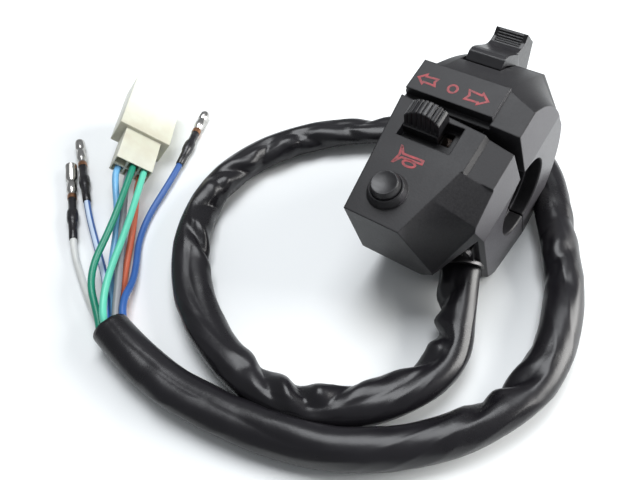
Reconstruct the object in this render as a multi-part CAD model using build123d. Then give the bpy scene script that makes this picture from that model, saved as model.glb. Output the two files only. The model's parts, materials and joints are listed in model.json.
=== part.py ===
from build123d import *
import math
import os

# Left handlebar switch: a two-piece case that clamps round the bar, a sliding
# turn knob, a push button for the horn and a rocking beam lever, with the
# harness sleeve, its wires, the connector and the bullet terminals.
#
# The case is drawn in its own frame: origin on the bar axis, x along the bar,
# y up the front panel, z out of the panel towards the rider.  It is then laid
# on its back, and everything on the table is drawn straight in the world.

# how it lies
TILT = 18.0                 # degrees the panel leans up off the table
REST_HEIGHT = 24.0          # bar axis above the table
TABLE_SHIFT_X = -0.1        # these put the case over the origin
TABLE_SHIFT_Y = -1.716

# bar and clamp
BAR_R = 11.1
MOUTH_R = 12.4
RELIEF_R = 12.0
MOUTH_DEPTH = 4.5
SADDLE_RIGHT = 8.5          # where the right saddle rib starts
SADDLE_LEFT = 4.4           # width of the left saddle rib
MOUTH_CHAMFER = 0.4

# case envelope, from the bar axis
PANEL_Z = 27.4              # front panel
LOWER_H = 36.8              # reach of the lower case
UPPER_H = 38.0              # reach of the upper case
LEFT_X = 19.8
RIGHT_X = 20.0
DRAFT_Z = 12.0              # the right end leans in above this height
DRAFT_RUN = 48.0            # height of the drafted part of the cutter
DRAFT_LEAN = 7.8            # how far it leans in over that height
WALL = 2.5
REAR_PART_GAP = 0.25        # half of the gap at the rear of the parting
OVERRUN = 1.0               # how far a cutter runs past a face
BIG = 60.0                  # reach of a cutter that takes all beyond a face
FIT = 0.3                   # clearance of a moving piece

# parting at the front: a wedge, open to the right
UPPER_PART_Y = 3.1
PART_INNER_Z = 10.0         # both faces of the gap fall towards the bar
PART_INNER_DROP = 2.7
LOWER_PART_LEFT = 2.9       # lower case top edge at its left end
LOWER_PART_RIGHT = -1.3     # and at its right end

# arrow panel and side facet
ARROW_PANEL_X = (-19.4, 8.4)
ARROW_PANEL_Y = (4.9, 16.0)
ARROW_PANEL_PROUD = 1.3
ARROW_PANEL_LEAN = 0.45
BAND_DEPTH = 2.0
SECTION_RIGHT = 8.5         # the case tapers to its right end from here
LEFT_ROUND = 6.0

# pocket of the turn knob
POCKET_X = (-14.1, 3.0)
POCKET_Y = (-9.8, -0.7)
POCKET_DEPTH = 3.4
POCKET_WALL = 1.8
KNOB_TRAVEL = 5.5
STEM_W = 5.2
STEM_H = 4.0
STEM_Y = -4.0
KNOB_X = (-13.5, -2.2)
KNOB_Y = (-6.6, 0.0)
KNOB_TOP = 6.4              # height of the knob above the panel
KNOB_RIB_PITCH = 1.5
KNOB_RIB_DEPTH = 0.5
KNOB_SIDE_CHAMFER = 0.8

# turn slider, wiper and contact board
SLIDER_X = (-13.4, -3.0)
SLIDER_Y = (-9.3, -1.4)
SLIDER_T = 4.2
BOARD_T = 1.4
BOARD_X = (-15.2, 5.9)
BOARD_Y = (-12.3, 0.3)
WIPER_T = 0.4
RIVET_HEAD = 0.3
RIVET_R = 1.1
RIVET_PITCH = 5.5
RIVET_TAIL = 1.0
BOARD_POST_R = 1.5
BOARD_SCREW_R = 0.8
SCREW_HEAD_R = 1.5
SCREW_HEAD_T = 0.9
BALL_R = 1.2
SPRING_WALL = 0.35
BALL_PROUD = 0.25

# horn button
HORN_X = -6.5
HORN_INSET = 9.8            # its axis from the case's lower end
HORN_Y = HORN_INSET - LOWER_H
COLLAR_BASE_R = 5.8
COLLAR_TOP_R = 4.95
COLLAR_H = 2.8
HORN_R = 4.35
HORN_TOP_R = 3.75
HORN_TOP = 5.1              # top of the button above the panel
HORN_CAP_H = 1.6            # height of its tapered top
HORN_DISH = 0.5
HORN_TRAVEL = 2.0
HORN_FLANGE_R = 5.4
HORN_FLANGE_T = 1.3
HORN_STEM_R = 1.6
HORN_SKIRT_R = 4.5
HORN_SKIRT_T = 0.8
HORN_SKIRT_H = 6.0
HORN_STEM_END = 2.8         # clearance of the stem above the contact plate
CONTACT_RING_T = 0.8
CONTACT_GAP = 0.2           # left between the contacts at full press
HORN_PLATE_T = 0.8
HORN_PLATE_W = 13.2
HORN_PLATE_H = 9.2
PLATE_POST_R = 1.0
PLATE_STUD_R = 0.5
PLATE_POST_PITCH = 11.2
SPRING_R = 2.6
SPRING_WIRE_R = 0.25
SPRING_TURNS = 6

# beam lever
PIVOT_INSET = 11.0          # its axis from the case's upper end
PIVOT_Y = UPPER_H - PIVOT_INSET
PIVOT_Z = 4.0
PIVOT_R = 1.5
PIVOT_FIT = 0.06
HUB_R = 3.6
LEVER_X = (-13.0, -1.0)
FINGER_X = (-13.0, -2.0)
STEM_X = (-10.5, -4.0)
HUB_X = (-11.7, -3.3)
LUG_T = 2.4
LUG_GAP = 0.3
SLOT_SIDE = 0.7
LEVER_REACH = 24.0          # finger end beyond the pivot
LEVER_TOE = 16.0            # toe in front of the pivot
THUMB_RIB_R = 0.35
THUMB_RIB_INSET = 1.2
BEAM_WIPER_GAP = 0.4        # over the rivets
ARM_HALF = 2.6
BEAM_WIPER_HALF = 1.5
CHAMBER_X = (-17.0, 6.5)
CHAMBER_FLOOR = 15.3
BEAM_BOARD_Z = (-6.0, 13.5)
BEAM_BOARD_INSET = 0.4
BEAM_BALL_DEPTH = 6.4       # below the pivot
BEAM_BALL_Y = PIVOT_Y - BEAM_BALL_DEPTH

# clamp screws, from below at the rear
CLAMP_SCREW_X = (-12.0, 10.5)
CLAMP_SCREW_Z = -17.3
CLAMP_SCREW_R = 2.0
CLAMP_HEAD_R = 3.5
CLAMP_HEAD_T = 2.6
CLAMP_SEAT_Y = -7.5
CLAMP_REACH = 10.0
CLAMP_DRIVE_R = 1.6
CLAMP_DRIVE_DEPTH = 1.3
SCREW_SLOT_W = 0.5
SCREW_SLOT_DEPTH = 0.4

# cable exit under the right shoulder
SHOULDER_Y = -24.5
EXIT_X = 12.0
EXIT_Z = -4.6
EXIT_DIR = (0.42, -0.9, -0.1)
SLEEVE_R = 6.0
SOCKET_R = 6.2
SOCKET_DEPTH = 6.0
GROMMET_T = 1.5
GROMMET_BORE = 3.4
PASSAGE_R = 3.0
PASSAGE_END = (3.0, -20.0, 9.0)
CLAMP_STRAP_T = 1.3
CLAMP_STRAP_W = 3.6
STRAP_SCREW_X = 15.2
STRAP_SCREW_Z = 7.6
STRAP_SCREW_R = 1.2
STRAP_HEAD_R = 2.3
STRAP_HEAD_T = 1.5
STRAP_SCREW_LEN = 7.0

# harness on the table, in the world: radii, connector and terminals
WIRE_R = 1.2
CONNECTOR_FAR = (-133.5, -11.5)     # middle of its open end
CONNECTOR_DIR = (0.46, -0.888)      # from the open end towards the wires
CONNECTOR_W = 24.0
CONNECTOR_H = 13.5
CONNECTOR_WIDE = 30.0
CONNECTOR_NECK_W = 18.6
CONNECTOR_NECK_H = 11.4
CONNECTOR_NECK = 9.5
CONNECTOR_WALL = 1.5
SHROUD_DEPTH = 17.0
LATCH_W = 6.0
LATCH_L = 12.0
LATCH_T = 1.2
CELL_PITCH = 6.5
ROW_LOW = 4.0
ROW_HIGH = 9.5
TAB_W = 4.8
TAB_T = 0.8
TAB_L = 13.0
TAB_ROOT = 4.0
BULLET_R = 2.0
BULLET_NECK_R = 1.6
FEMALE_R = 2.3
FEMALE_BORE = 1.9
FEMALE_DEPTH = 9.0
WHITE_INSULATOR = 22.0      # lengths of the insulators
BLUE_WHITE_INSULATOR = 21.5
BLUE_INSULATOR = 19.5
INSULATOR_R = 2.4
INSULATOR_REST = 0.02       # above the table
INSULATOR_Z = INSULATOR_R + INSULATOR_REST
INSULATOR_TIP_R = 1.9
INSULATOR_TIP = 3.0

CENTER_MIN = (Align.CENTER, Align.CENTER, Align.MIN)
CORNER = (Align.MIN, Align.MIN, Align.MIN)
REST_COS = math.cos(math.radians(TILT))
REST_SIN = math.sin(math.radians(TILT))


# small builders

def block(x, y, z):
    """Box between a low and a high limit on each axis."""
    size = Box(x[1] - x[0], y[1] - y[0], z[1] - z[0], align=CORNER)
    return Pos(x[0], y[0], z[0]) * size


def rod(base, along, radius, length):
    """Cylinder from a base point along a direction."""
    return Plane(base, z_dir=along) * Cylinder(radius, length, align=CENTER_MIN)


def taper(base, along, radius, end_radius, length):
    """Cone frustum from a base point along a direction."""
    cone = Cone(radius, end_radius, length, align=CENTER_MIN)
    return Plane(base, z_dir=along) * cone


def ring(base, along, radius, bore, length):
    """Plain ring."""
    return rod(base, along, radius, length) - rod(base, along, bore, length)


def spread(shares, across, up):
    """Outline points from shares of two named sizes."""
    return [(a * across, b * up) for a, b in shares]


def outline(start, steps):
    """Closed face: a step of one point is a line, of two points an arc."""
    edges, here = [], start
    for step in steps:
        if len(step) == 1:
            edges.append(Line(here, step[0]))
        else:
            edges.append(ThreePointArc(here, step[0], step[1]))
        here = step[-1]
    edges.append(Line(here, start))
    return make_face(edges)


def side_prism(points, x):
    """Extrude a polygon in (y, z) between two x limits."""
    face = Plane.YZ.offset(x[0]) * make_face(Polyline(*points, close=True))
    return extrude(face, x[1] - x[0], dir=(1, 0, 0))


def plan_prism(points, z):
    """Extrude a polygon in (x, y) between two z limits."""
    face = Plane.XY.offset(z[0]) * make_face(Polyline(*points, close=True))
    return extrude(face, z[1] - z[0], dir=(0, 0, 1))


def cross_face(points, y):
    """Polygon in (x, z) on the plane at height y."""
    loop = [(px, y, pz) for px, pz in points]
    return make_face(Polyline(*loop, close=True))


def above_table(shape):
    """Cut the resting flat: the table plane seen in the case frame."""
    slab = Box(BIG * 2, BIG * 2, BIG, align=(Align.CENTER, Align.CENTER, Align.MAX))
    slab = slab.translate((0, 0, -REST_HEIGHT)).rotate(Axis.X, -TILT)
    return shape - slab


# case

LOWER_SIDE_SHARES = [(0.12, 1.0), (-1.0, 1.0), (-1.0, 0.058), (-0.50, -0.72),
                     (-0.45, -1.0), (0.12, -1.0)]
LOWER_PLAN_SHARES = [(-1.01, 0.12), (-0.76, -1.0), (0.53, -1.0), (1.012, -0.625),
                     (1.012, 0.12)]
# dark side facet: x as shares of the left reach, z of the panel distance
FACET_SHARES = [
    (-1.03, [(0.119, 1.0), (0.50, 0.234)]),
    (-0.652, [(0.293, 1.0), (0.934, 0.774)]),
    (-0.3587, [(0.429, 1.0), (0.915, 0.861)]),
]
STEP_SHARES = [(0.46, 1.0), (0.515, 0.945), (0.91, 0.887)]
RELIEF_CORNER_SHARES = [
    (-1.03, [(0.28, 0.04), (0.50, 0.20)]),
    (SHOULDER_Y / LOWER_H, [(0.33, 0.10), (0.77, 0.53)]),
]
LOWER_CAVITY_PLAN_SHARES = [(-0.884, 0.12), (-0.657, -0.932), (0.10, -0.932),
                            (0.343, -0.353), (0.354, 0.12)]
LOWER_CAVITY_SIDE_SHARES = [(0.12, 0.9088), (-0.932, 0.9088), (-0.932, 0.164),
                            (-0.421, 0.164), (-0.245, 0.347), (0.12, 0.347)]


def facet_cutter():
    """Ruled cutter of the dark side facet, twisting up to the block."""
    faces = []
    for y, (inner, outer) in FACET_SHARES:
        ax, az = inner[0] * LEFT_X, inner[1] * PANEL_Z
        bx, bz = outer[0] * LEFT_X, outer[1] * PANEL_Z
        faces.append(cross_face(
            [(ax, az), (bx, bz), (BIG, bz), (BIG, BIG), (ax, BIG)], y * LOWER_H))
    return loft(faces[:2], ruled=True) + loft(faces[1:], ruled=True)


def cable_corner_cutter():
    """Hollow under the shoulder and the side facet, where the cable leaves."""
    faces = []
    for y, (inner, outer) in RELIEF_CORNER_SHARES:
        ax, az = inner[0] * LEFT_X, inner[1] * PANEL_Z
        bx, bz = outer[0] * LEFT_X, outer[1] * PANEL_Z
        faces.append(cross_face(
            [(ax, az), (bx, bz), (BIG, bz), (BIG, -BIG), (ax, -BIG)], y * LOWER_H))
    return loft(faces, ruled=True)


def parting_slope(front_y):
    """Takes all above a parting face that falls from the front to the bar."""
    points = [(front_y, PANEL_Z), (front_y - PART_INNER_DROP, PART_INNER_Z),
              (front_y - PART_INNER_DROP, 0), (BIG, 0), (BIG, BIG), (front_y, BIG)]
    return side_prism(points, (-BIG, BIG))


def front_parting_cutter():
    """Takes all above the sloping top edge of the lower case."""
    left, right = LOWER_PART_LEFT, LOWER_PART_RIGHT
    points = [(-LEFT_X, left), (RIGHT_X, right), (BIG, right), (BIG, BIG),
              (-BIG, BIG), (-BIG, left)]
    return plan_prism(points, (0, BIG)) + parting_slope(left)


def end_draft_cutter():
    """Leans the right end of both halves in towards the panel."""
    points = [(RIGHT_X, DRAFT_Z), (RIGHT_X - DRAFT_LEAN, DRAFT_Z + DRAFT_RUN),
              (BIG, DRAFT_Z + DRAFT_RUN), (BIG, DRAFT_Z)]
    return extrude(cross_face(points, -BIG), BIG + BIG, dir=(0, 1, 0))


def bar_space(right_end, reach):
    """Room of the bar: mouth, saddle ribs and relief, along x."""
    axis = (1, 0, 0)
    saddle = rod((-BIG, 0, 0), axis, BAR_R, BIG + BIG)
    relief = rod((SADDLE_LEFT - reach, 0, 0), axis, RELIEF_R,
                 reach - SADDLE_LEFT + SADDLE_RIGHT)
    mouth_start = right_end - MOUTH_DEPTH
    mouth = rod((mouth_start, 0, 0), axis, MOUTH_R, MOUTH_DEPTH + OVERRUN)
    lead = taper((right_end - MOUTH_CHAMFER, 0, 0), axis, MOUTH_R,
                 MOUTH_R + MOUTH_CHAMFER + OVERRUN, MOUTH_CHAMFER + OVERRUN)
    return saddle + relief + mouth + lead


def socket_frame():
    """Exit point of the cable in the case frame and its outward direction."""
    size = math.sqrt(sum(c * c for c in EXIT_DIR))
    return (EXIT_X, SHOULDER_Y, EXIT_Z), tuple(c / size for c in EXIT_DIR)


def along(point, direction, distance):
    """Point at a distance from another."""
    return tuple(p + d * distance for p, d in zip(point, direction))


def cable_socket():
    """Bore of the sleeve and the narrower passage to the switch chamber."""
    tip, out = socket_frame()
    floor = along(tip, out, -SOCKET_DEPTH)
    inward = tuple(-c for c in out)
    hole = rod(floor, out, SOCKET_R, SOCKET_DEPTH + BIG)
    way = tuple(b - a for a, b in zip(floor, PASSAGE_END))
    length = math.sqrt(sum(c * c for c in way))
    start = along(floor, inward, -OVERRUN)
    return hole, rod(start, way, PASSAGE_R, length + OVERRUN)


def pocket_floor():
    return PANEL_Z - POCKET_DEPTH


def pocket_underside():
    return pocket_floor() - POCKET_WALL


def slider_top():
    return pocket_underside() - FIT


def wiper_top():
    return slider_top() - SLIDER_T


def board_top():
    return wiper_top() - WIPER_T - RIVET_HEAD - FIT / 2


def board_posts():
    """Places of the two posts that carry the turn contact board."""
    inset = BOARD_POST_R
    return [(BOARD_X[0] + inset, BOARD_Y[0] + inset - FIT),
            (BOARD_X[1] - inset, BOARD_Y[1] - inset)]


def horn_flange_top():
    return PANEL_Z - WALL - FIT / 2


def horn_ring_bottom():
    return horn_flange_top() - HORN_FLANGE_T - HORN_SKIRT_H - CONTACT_RING_T


def horn_plate_top():
    return horn_ring_bottom() - HORN_TRAVEL - CONTACT_GAP


def plate_posts():
    half = PLATE_POST_PITCH / 2
    return [(HORN_X - half, HORN_Y), (HORN_X + half, HORN_Y)]


def lower_case():
    """Lower half: control panel, knob pocket, horn collar and cable exit."""
    body = side_prism(spread(LOWER_SIDE_SHARES, LOWER_H, PANEL_Z), (-BIG, BIG))
    body &= plan_prism(spread(LOWER_PLAN_SHARES, LEFT_X, LOWER_H), (-BIG, BIG))
    body -= facet_cutter()
    step = spread(STEP_SHARES, LEFT_X, PANEL_Z)
    step += [(BIG, step[-1][1]), (BIG, BIG), (step[0][0], BIG)]
    block_low = FACET_SHARES[2][0] * LOWER_H
    step_face = cross_face(step, block_low)
    body -= extrude(step_face, BIG, dir=(0, 1, 0))
    body -= cable_corner_cutter()
    body -= front_parting_cutter()
    rear = block((-BIG, BIG), (-REAR_PART_GAP, BIG), (-BIG, 0))
    body -= rear
    collar = taper((HORN_X, HORN_Y, PANEL_Z - WALL), (0, 0, 1), COLLAR_BASE_R + WALL / 2,
                   COLLAR_TOP_R, WALL + COLLAR_H)
    panel_skin = rod((HORN_X, HORN_Y, PANEL_Z), (0, 0, 1), COLLAR_BASE_R, COLLAR_H)
    body += collar & panel_skin
    cavity = plan_prism(spread(LOWER_CAVITY_PLAN_SHARES, LEFT_X, LOWER_H), (-BIG, BIG))
    cavity &= side_prism(spread(LOWER_CAVITY_SIDE_SHARES, LOWER_H, PANEL_Z), (-BIG, BIG))
    saddle_side = block((-BIG, SADDLE_LEFT - LEFT_X), (-MOUTH_R - OVERRUN, BIG),
                        (-BIG, MOUTH_R + OVERRUN))
    body -= cavity - saddle_side
    pocket_box = block((POCKET_X[0] - POCKET_WALL, POCKET_X[1] + POCKET_WALL),
                       (POCKET_Y[0] - POCKET_WALL, POCKET_Y[1] + POCKET_WALL - FIT),
                       (pocket_underside(), PANEL_Z - OVERRUN))
    envelope = plan_prism(spread(LOWER_PLAN_SHARES, LEFT_X, LOWER_H), (0, PANEL_Z))
    body += pocket_box & envelope - front_parting_cutter()
    for px, py in board_posts():
        body += rod((px, py, board_top()), (0, 0, 1), BOARD_POST_R,
                    pocket_underside() - board_top() + OVERRUN)
    plate_bottom = horn_plate_top() - HORN_PLATE_T
    floor_z = LOWER_CAVITY_SIDE_SHARES[2][1] * PANEL_Z
    for px, py in plate_posts():
        body += rod((px, py, floor_z - OVERRUN), (0, 0, 1), PLATE_POST_R,
                    plate_bottom - floor_z + OVERRUN)
        body += rod((px, py, plate_bottom), (0, 0, 1), PLATE_STUD_R,
                    HORN_PLATE_T + PLATE_STUD_R)
    body -= bar_space(RIGHT_X, LEFT_X)
    body -= end_draft_cutter()
    body -= block(POCKET_X, POCKET_Y, (pocket_floor(), BIG))
    slot_half = STEM_W / 2 + FIT / 2
    stem_mid = (KNOB_X[0] + KNOB_X[1]) / 2
    body -= block((stem_mid - slot_half, stem_mid + KNOB_TRAVEL + slot_half),
                  (STEM_Y - STEM_H / 2 - FIT / 2, STEM_Y + STEM_H / 2 + FIT / 2), (0, BIG))
    body -= rod((HORN_X, HORN_Y, PANEL_Z - WALL - OVERRUN), (0, 0, 1), HORN_R + FIT / 2, BIG)
    for px, py in board_posts():
        body -= rod((px, py, board_top()), (0, 0, 1), BOARD_SCREW_R,
                    pocket_floor() - board_top() - OVERRUN)
    for sx in CLAMP_SCREW_X:
        body -= rod((sx, CLAMP_SEAT_Y, CLAMP_SCREW_Z), (0, 1, 0), CLAMP_SCREW_R + FIT, BIG)
        body -= rod((sx, CLAMP_SEAT_Y, CLAMP_SCREW_Z), (0, -1, 0), CLAMP_HEAD_R + FIT, BIG)
    hole, passage = cable_socket()
    body = body - hole - passage
    body -= rod((STRAP_SCREW_X, SHOULDER_Y, STRAP_SCREW_Z), (0, 1, 0), STRAP_SCREW_R,
                STRAP_SCREW_LEN - STRAP_HEAD_T)
    return above_table(body)


UPPER_START_SHARES = (0.0815, 1.0)
UPPER_STEP_SHARES = [
    [(0.408, 1.0)], [(0.684, 0.737), (0.934, 0.409)], [(1.0, 0.274), (0.989, 0.091)],
    [(0.829, -0.493), (0.0, -0.949)], [(0.0, 0.0)],
]
END_START_SHARES = (0.0815, 0.9635)
END_STEP_SHARES = [
    [(0.29, 0.9635)], [(0.474, 0.785), (0.626, 0.31)], [(0.666, 0.182), (0.668, 0.036)],
    [(0.447, -0.682), (0.0, -0.931)], [(0.0, 0.0)],
]
LEFT_STEP_SHARES = [
    [(0.345, 0.92)], [(0.59, 0.569), (0.824, 0.252)], [(0.855, 0.19), (0.834, 0.055)],
    [(0.71, -0.35), (0.0, -0.73)], [(0.0, 0.0)],
]
ROUND_SHARES = [0.0, 0.5, 0.8, 0.95, 1.0]
CHAMBER_SHARES = [(CHAMBER_FLOOR / UPPER_H, 0.876), (0.642, 0.650), (0.876, 0.339), (0.910, 0.11),
                  (0.816, -0.29), (CHAMBER_FLOOR / UPPER_H, -0.29)]
CHANNEL_SHARES = [(0.0, 0.511), (0.40, 0.511), (0.42, 0.876), (0.0, 0.876)]
RECESS_SHARES = [(0.668, 0.693), (0.816, 0.533), (0.937, 0.358), (0.985, 0.237),
                 (0.989, 0.110), (1.3, 0.110), (1.3, 1.2), (0.668, 1.2)]


def upper_section(start, steps, x):
    """Side outline of the upper case on the plane at x."""
    scaled = [[(a * UPPER_H, b * PANEL_Z) for a, b in step] for step in steps]
    first = (start[0] * UPPER_H, start[1] * PANEL_Z)
    return Plane.YZ.offset(x) * outline(first, scaled)


def between(a, b, share):
    """Point at a share of the way from one to another."""
    return tuple(p + (q - p) * share for p, q in zip(a, b))


def lugs():
    """Two ribs in the chamber that carry the lever's pin."""
    made = None
    for x in ((HUB_X[0] - LUG_GAP - LUG_T, HUB_X[0] - LUG_GAP),
              (HUB_X[1] + LUG_GAP, HUB_X[1] + LUG_GAP + LUG_T)):
        rib = block(x, (CHAMBER_FLOOR - OVERRUN, PIVOT_Y), (PIVOT_Z - HUB_R, PIVOT_Z + HUB_R))
        rib += rod((x[0], PIVOT_Y, PIVOT_Z), (1, 0, 0), HUB_R, x[1] - x[0])
        made = rib if made is None else made + rib
    return made


def beam_screw_places():
    """Screws of the beam contact board, fore and aft."""
    mid = (HUB_X[0] + HUB_X[1]) / 2
    inset = SCREW_HEAD_R + BEAM_BOARD_INSET
    return [(mid, BEAM_BOARD_Z[0] + inset), (mid, BEAM_BOARD_Z[1] - inset)]


def upper_case():
    """Upper half: arrow panel, rounded back and the beam lever's chamber."""
    round_start = LEFT_ROUND - LEFT_X
    main = upper_section(UPPER_START_SHARES, UPPER_STEP_SHARES, round_start)
    body = extrude(main, SECTION_RIGHT - round_start, dir=(1, 0, 0))
    sections = []
    for share in ROUND_SHARES:
        drop = 1.0 - math.sqrt(1.0 - share * share)
        steps = [[between(a, b, drop) for a, b in zip(full, low)]
                 for full, low in zip(UPPER_STEP_SHARES, LEFT_STEP_SHARES)]
        sections.append(upper_section(UPPER_START_SHARES, steps,
                                      round_start - share * LEFT_ROUND))
    body += loft(sections, ruled=True)
    body += loft([upper_section(UPPER_START_SHARES, UPPER_STEP_SHARES, SECTION_RIGHT),
                  upper_section(END_START_SHARES, END_STEP_SHARES, RIGHT_X)], ruled=True)
    body -= block((-BIG, SECTION_RIGHT), (-BIG, ARROW_PANEL_Y[0]), (PANEL_Z - BAND_DEPTH, BIG))
    low, high = ARROW_PANEL_Y
    face = PANEL_Z + ARROW_PANEL_PROUD
    panel = side_prism([(low, PANEL_Z - WALL), (low, face), (high, face - ARROW_PANEL_LEAN),
                        (high, PANEL_Z - WALL)], ARROW_PANEL_X)
    body += panel
    front = block((-BIG, BIG), (-BIG, UPPER_PART_Y), (0, BIG)) - parting_slope(UPPER_PART_Y)
    rear = block((-BIG, BIG), (-BIG, REAR_PART_GAP), (-BIG, 0))
    body = body - front - rear - end_draft_cutter()
    chamber = side_prism(spread(CHAMBER_SHARES, UPPER_H, PANEL_Z), CHAMBER_X)
    channel = side_prism(spread(CHANNEL_SHARES, UPPER_H, PANEL_Z), CHAMBER_X)
    recess = side_prism(spread(RECESS_SHARES, UPPER_H, PANEL_Z),
                        (LEVER_X[0] - SLOT_SIDE, LEVER_X[1] + SLOT_SIDE))
    slot = block((STEM_X[0] - SLOT_SIDE, STEM_X[1] + SLOT_SIDE),
                 (PIVOT_Y + SLOT_SIDE / 2, BIG), (PIVOT_Z - HUB_R + FIT * 2, BIG))
    body = body - chamber - channel - recess - slot
    body += lugs()
    body -= rod((HUB_X[0] - BIG, PIVOT_Y, PIVOT_Z), (1, 0, 0), PIVOT_R, BIG - LUG_GAP + LUG_T
                + HUB_X[1] - HUB_X[0] + LUG_GAP * 2) & block(CHAMBER_X, (0, BIG), (0, BIG))
    body -= bar_space(RIGHT_X, LEFT_X)
    for sx, sz in beam_screw_places():
        body -= rod((sx, CHAMBER_FLOOR + OVERRUN, sz), (0, -1, 0), BOARD_SCREW_R,
                    OVERRUN + WALL - FIT)
    for sx in CLAMP_SCREW_X:
        body -= rod((sx, 0, CLAMP_SCREW_Z), (0, 1, 0), CLAMP_SCREW_R, CLAMP_REACH + OVERRUN)
    return above_table(body)


# fasteners

def cheese_screw(seat, along_shank, shank_r, head_r, head_t, length):
    """Slotted screw with its head seated at a point."""
    back = tuple(-c for c in along_shank)
    screw = rod(seat, along_shank, shank_r, length)
    screw += rod(seat, back, head_r, head_t)
    plane = Plane(seat, z_dir=back)
    slot = Box(head_r * 2 + OVERRUN, SCREW_SLOT_W, SCREW_SLOT_DEPTH,
               align=(Align.CENTER, Align.CENTER, Align.MAX))
    return screw - plane * Pos(0, 0, head_t) * slot


def clamp_screws():
    """Two pan-head screws that pull the halves together round the bar."""
    made = []
    for sx in CLAMP_SCREW_X:
        seat = (sx, CLAMP_SEAT_Y, CLAMP_SCREW_Z)
        screw = rod(seat, (0, 1, 0), CLAMP_SCREW_R, CLAMP_REACH - CLAMP_SEAT_Y)
        head = rod(seat, (0, -1, 0), CLAMP_HEAD_R, CLAMP_HEAD_T)
        end = (sx, CLAMP_SEAT_Y - CLAMP_HEAD_T, CLAMP_SCREW_Z)
        drive = None
        for turn in (0, 90):
            bar = Box(CLAMP_DRIVE_R * 2, SCREW_SLOT_W * 1.4, CLAMP_DRIVE_DEPTH,
                      align=(Align.CENTER, Align.CENTER, Align.MIN))
            cut = Plane(end, z_dir=(0, 1, 0)) * Rot(0, 0, turn) * bar
            drive = cut if drive is None else drive + cut
        made.append(screw + head - drive)
    return made


# turn switch

def knob_mid():
    return (KNOB_X[0] + KNOB_X[1]) / 2


KNOB_ARCH_SHARES = [(-0.5, 0.0), (-0.5, 0.60), (0.0, 1.0), (0.5, 0.60), (0.5, 0.0)]


def turn_knob():
    """Ribbed thumb piece with its stem down through the slot."""
    width, skirt = KNOB_X[1] - KNOB_X[0], PANEL_Z + FIT
    arch = [(knob_mid() + a * width, skirt + b * (KNOB_TOP - FIT)) for a, b in KNOB_ARCH_SHARES]
    sides = [Line(arch[0], arch[1]), ThreePointArc(arch[1], arch[2], arch[3]),
             Line(arch[3], arch[4]), Line(arch[4], arch[0])]
    face = Plane.XZ.offset(-KNOB_Y[0]) * make_face(sides)
    knob = extrude(face, KNOB_Y[1] - KNOB_Y[0], dir=(0, 1, 0))
    lean = block((-BIG, BIG), (-BIG, 0), (-BIG, BIG)).rotate(Axis.X, -TILT / 1.2)
    knob -= lean.translate((0, KNOB_Y[0] + FIT, PANEL_Z + FIT))
    count = int(width / KNOB_RIB_PITCH)
    for i in range(count):
        gx = knob_mid() + (i - (count - 1) / 2) * KNOB_RIB_PITCH
        share = (gx - knob_mid()) / (width / 2)
        top = skirt + (KNOB_TOP - FIT) * (1.0 - 0.40 * share * share)
        notch = block((gx - KNOB_RIB_DEPTH / 2, gx + KNOB_RIB_DEPTH / 2), (-BIG, BIG),
                      (top - KNOB_RIB_DEPTH, BIG))
        knob -= notch
        front = block((gx - KNOB_RIB_DEPTH / 2, gx + KNOB_RIB_DEPTH / 2),
                      (-KNOB_RIB_DEPTH, KNOB_RIB_DEPTH), (0, BIG)).rotate(Axis.X, -TILT / 1.2)
        knob -= front.translate((0, KNOB_Y[0] + FIT, PANEL_Z + KNOB_SIDE_CHAMFER + FIT))
    skirt_x = (POCKET_X[0] + FIT, POCKET_X[1] - FIT - KNOB_TRAVEL)
    knob += block(skirt_x, (KNOB_Y[0], POCKET_Y[1] - FIT), (pocket_floor() + FIT, skirt))
    knob += block((knob_mid() - STEM_W / 2, knob_mid() + STEM_W / 2),
                  (STEM_Y - STEM_H / 2, STEM_Y + STEM_H / 2),
                  (slider_top() - SLIDER_T / 2, pocket_floor() + FIT + OVERRUN))
    return knob


def turn_slider():
    """Carrier under the slot, with a socket for the stem and the detent."""
    top = slider_top()
    body = block(SLIDER_X, SLIDER_Y, (wiper_top(), top))
    body -= block((knob_mid() - STEM_W / 2, knob_mid() + STEM_W / 2),
                  (STEM_Y - STEM_H / 2, STEM_Y + STEM_H / 2), (top - SLIDER_T / 2, BIG))
    bx, by = turn_ball_place()
    body -= rod((bx, by, wiper_top() + WIPER_T), (0, 0, 1), BALL_R, BIG)
    return body


def turn_ball_place():
    return knob_mid(), SLIDER_Y[0] + BALL_R + BALL_PROUD * 2


def turn_detent_ball():
    """Steel ball that clicks the slider into its three places."""
    bx, by = turn_ball_place()
    return Pos(bx, by, slider_top() + BALL_PROUD - BALL_R) * Sphere(BALL_R)


def ball_seat():
    """Depth below the ball's centre where it rests on its spring."""
    bore = BALL_R - SPRING_WALL
    return math.sqrt(BALL_R * BALL_R - bore * bore)


def turn_detent_spring():
    """Short spring under the ball."""
    bx, by = turn_ball_place()
    low = wiper_top() + WIPER_T
    return ring((bx, by, low), (0, 0, 1), BALL_R, BALL_R - SPRING_WALL,
                slider_top() + BALL_PROUD - BALL_R - low - ball_seat())


def turn_wiper():
    """Sprung copper strip with two raised feet, moved by the slider."""
    half = RIVET_PITCH / 2 + RIVET_R / 2
    x = (knob_mid() - half, knob_mid() + half)
    y = (SLIDER_Y[0] + FIT, SLIDER_Y[1] - FIT)
    return block(x, y, (wiper_top() - WIPER_T, wiper_top()))


def turn_contact_board():
    """Laminate board that carries the fixed contacts."""
    top = board_top()
    body = block(BOARD_X, BOARD_Y, (top - BOARD_T, top))
    for px, py in board_posts():
        body -= rod((px, py, top - BOARD_T), (0, 0, 1), BOARD_SCREW_R, BOARD_T)
    for px, py in turn_rivet_places():
        body -= rod((px, py, top - BOARD_T), (0, 0, 1), RIVET_R / 2, BOARD_T)
    return body


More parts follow.
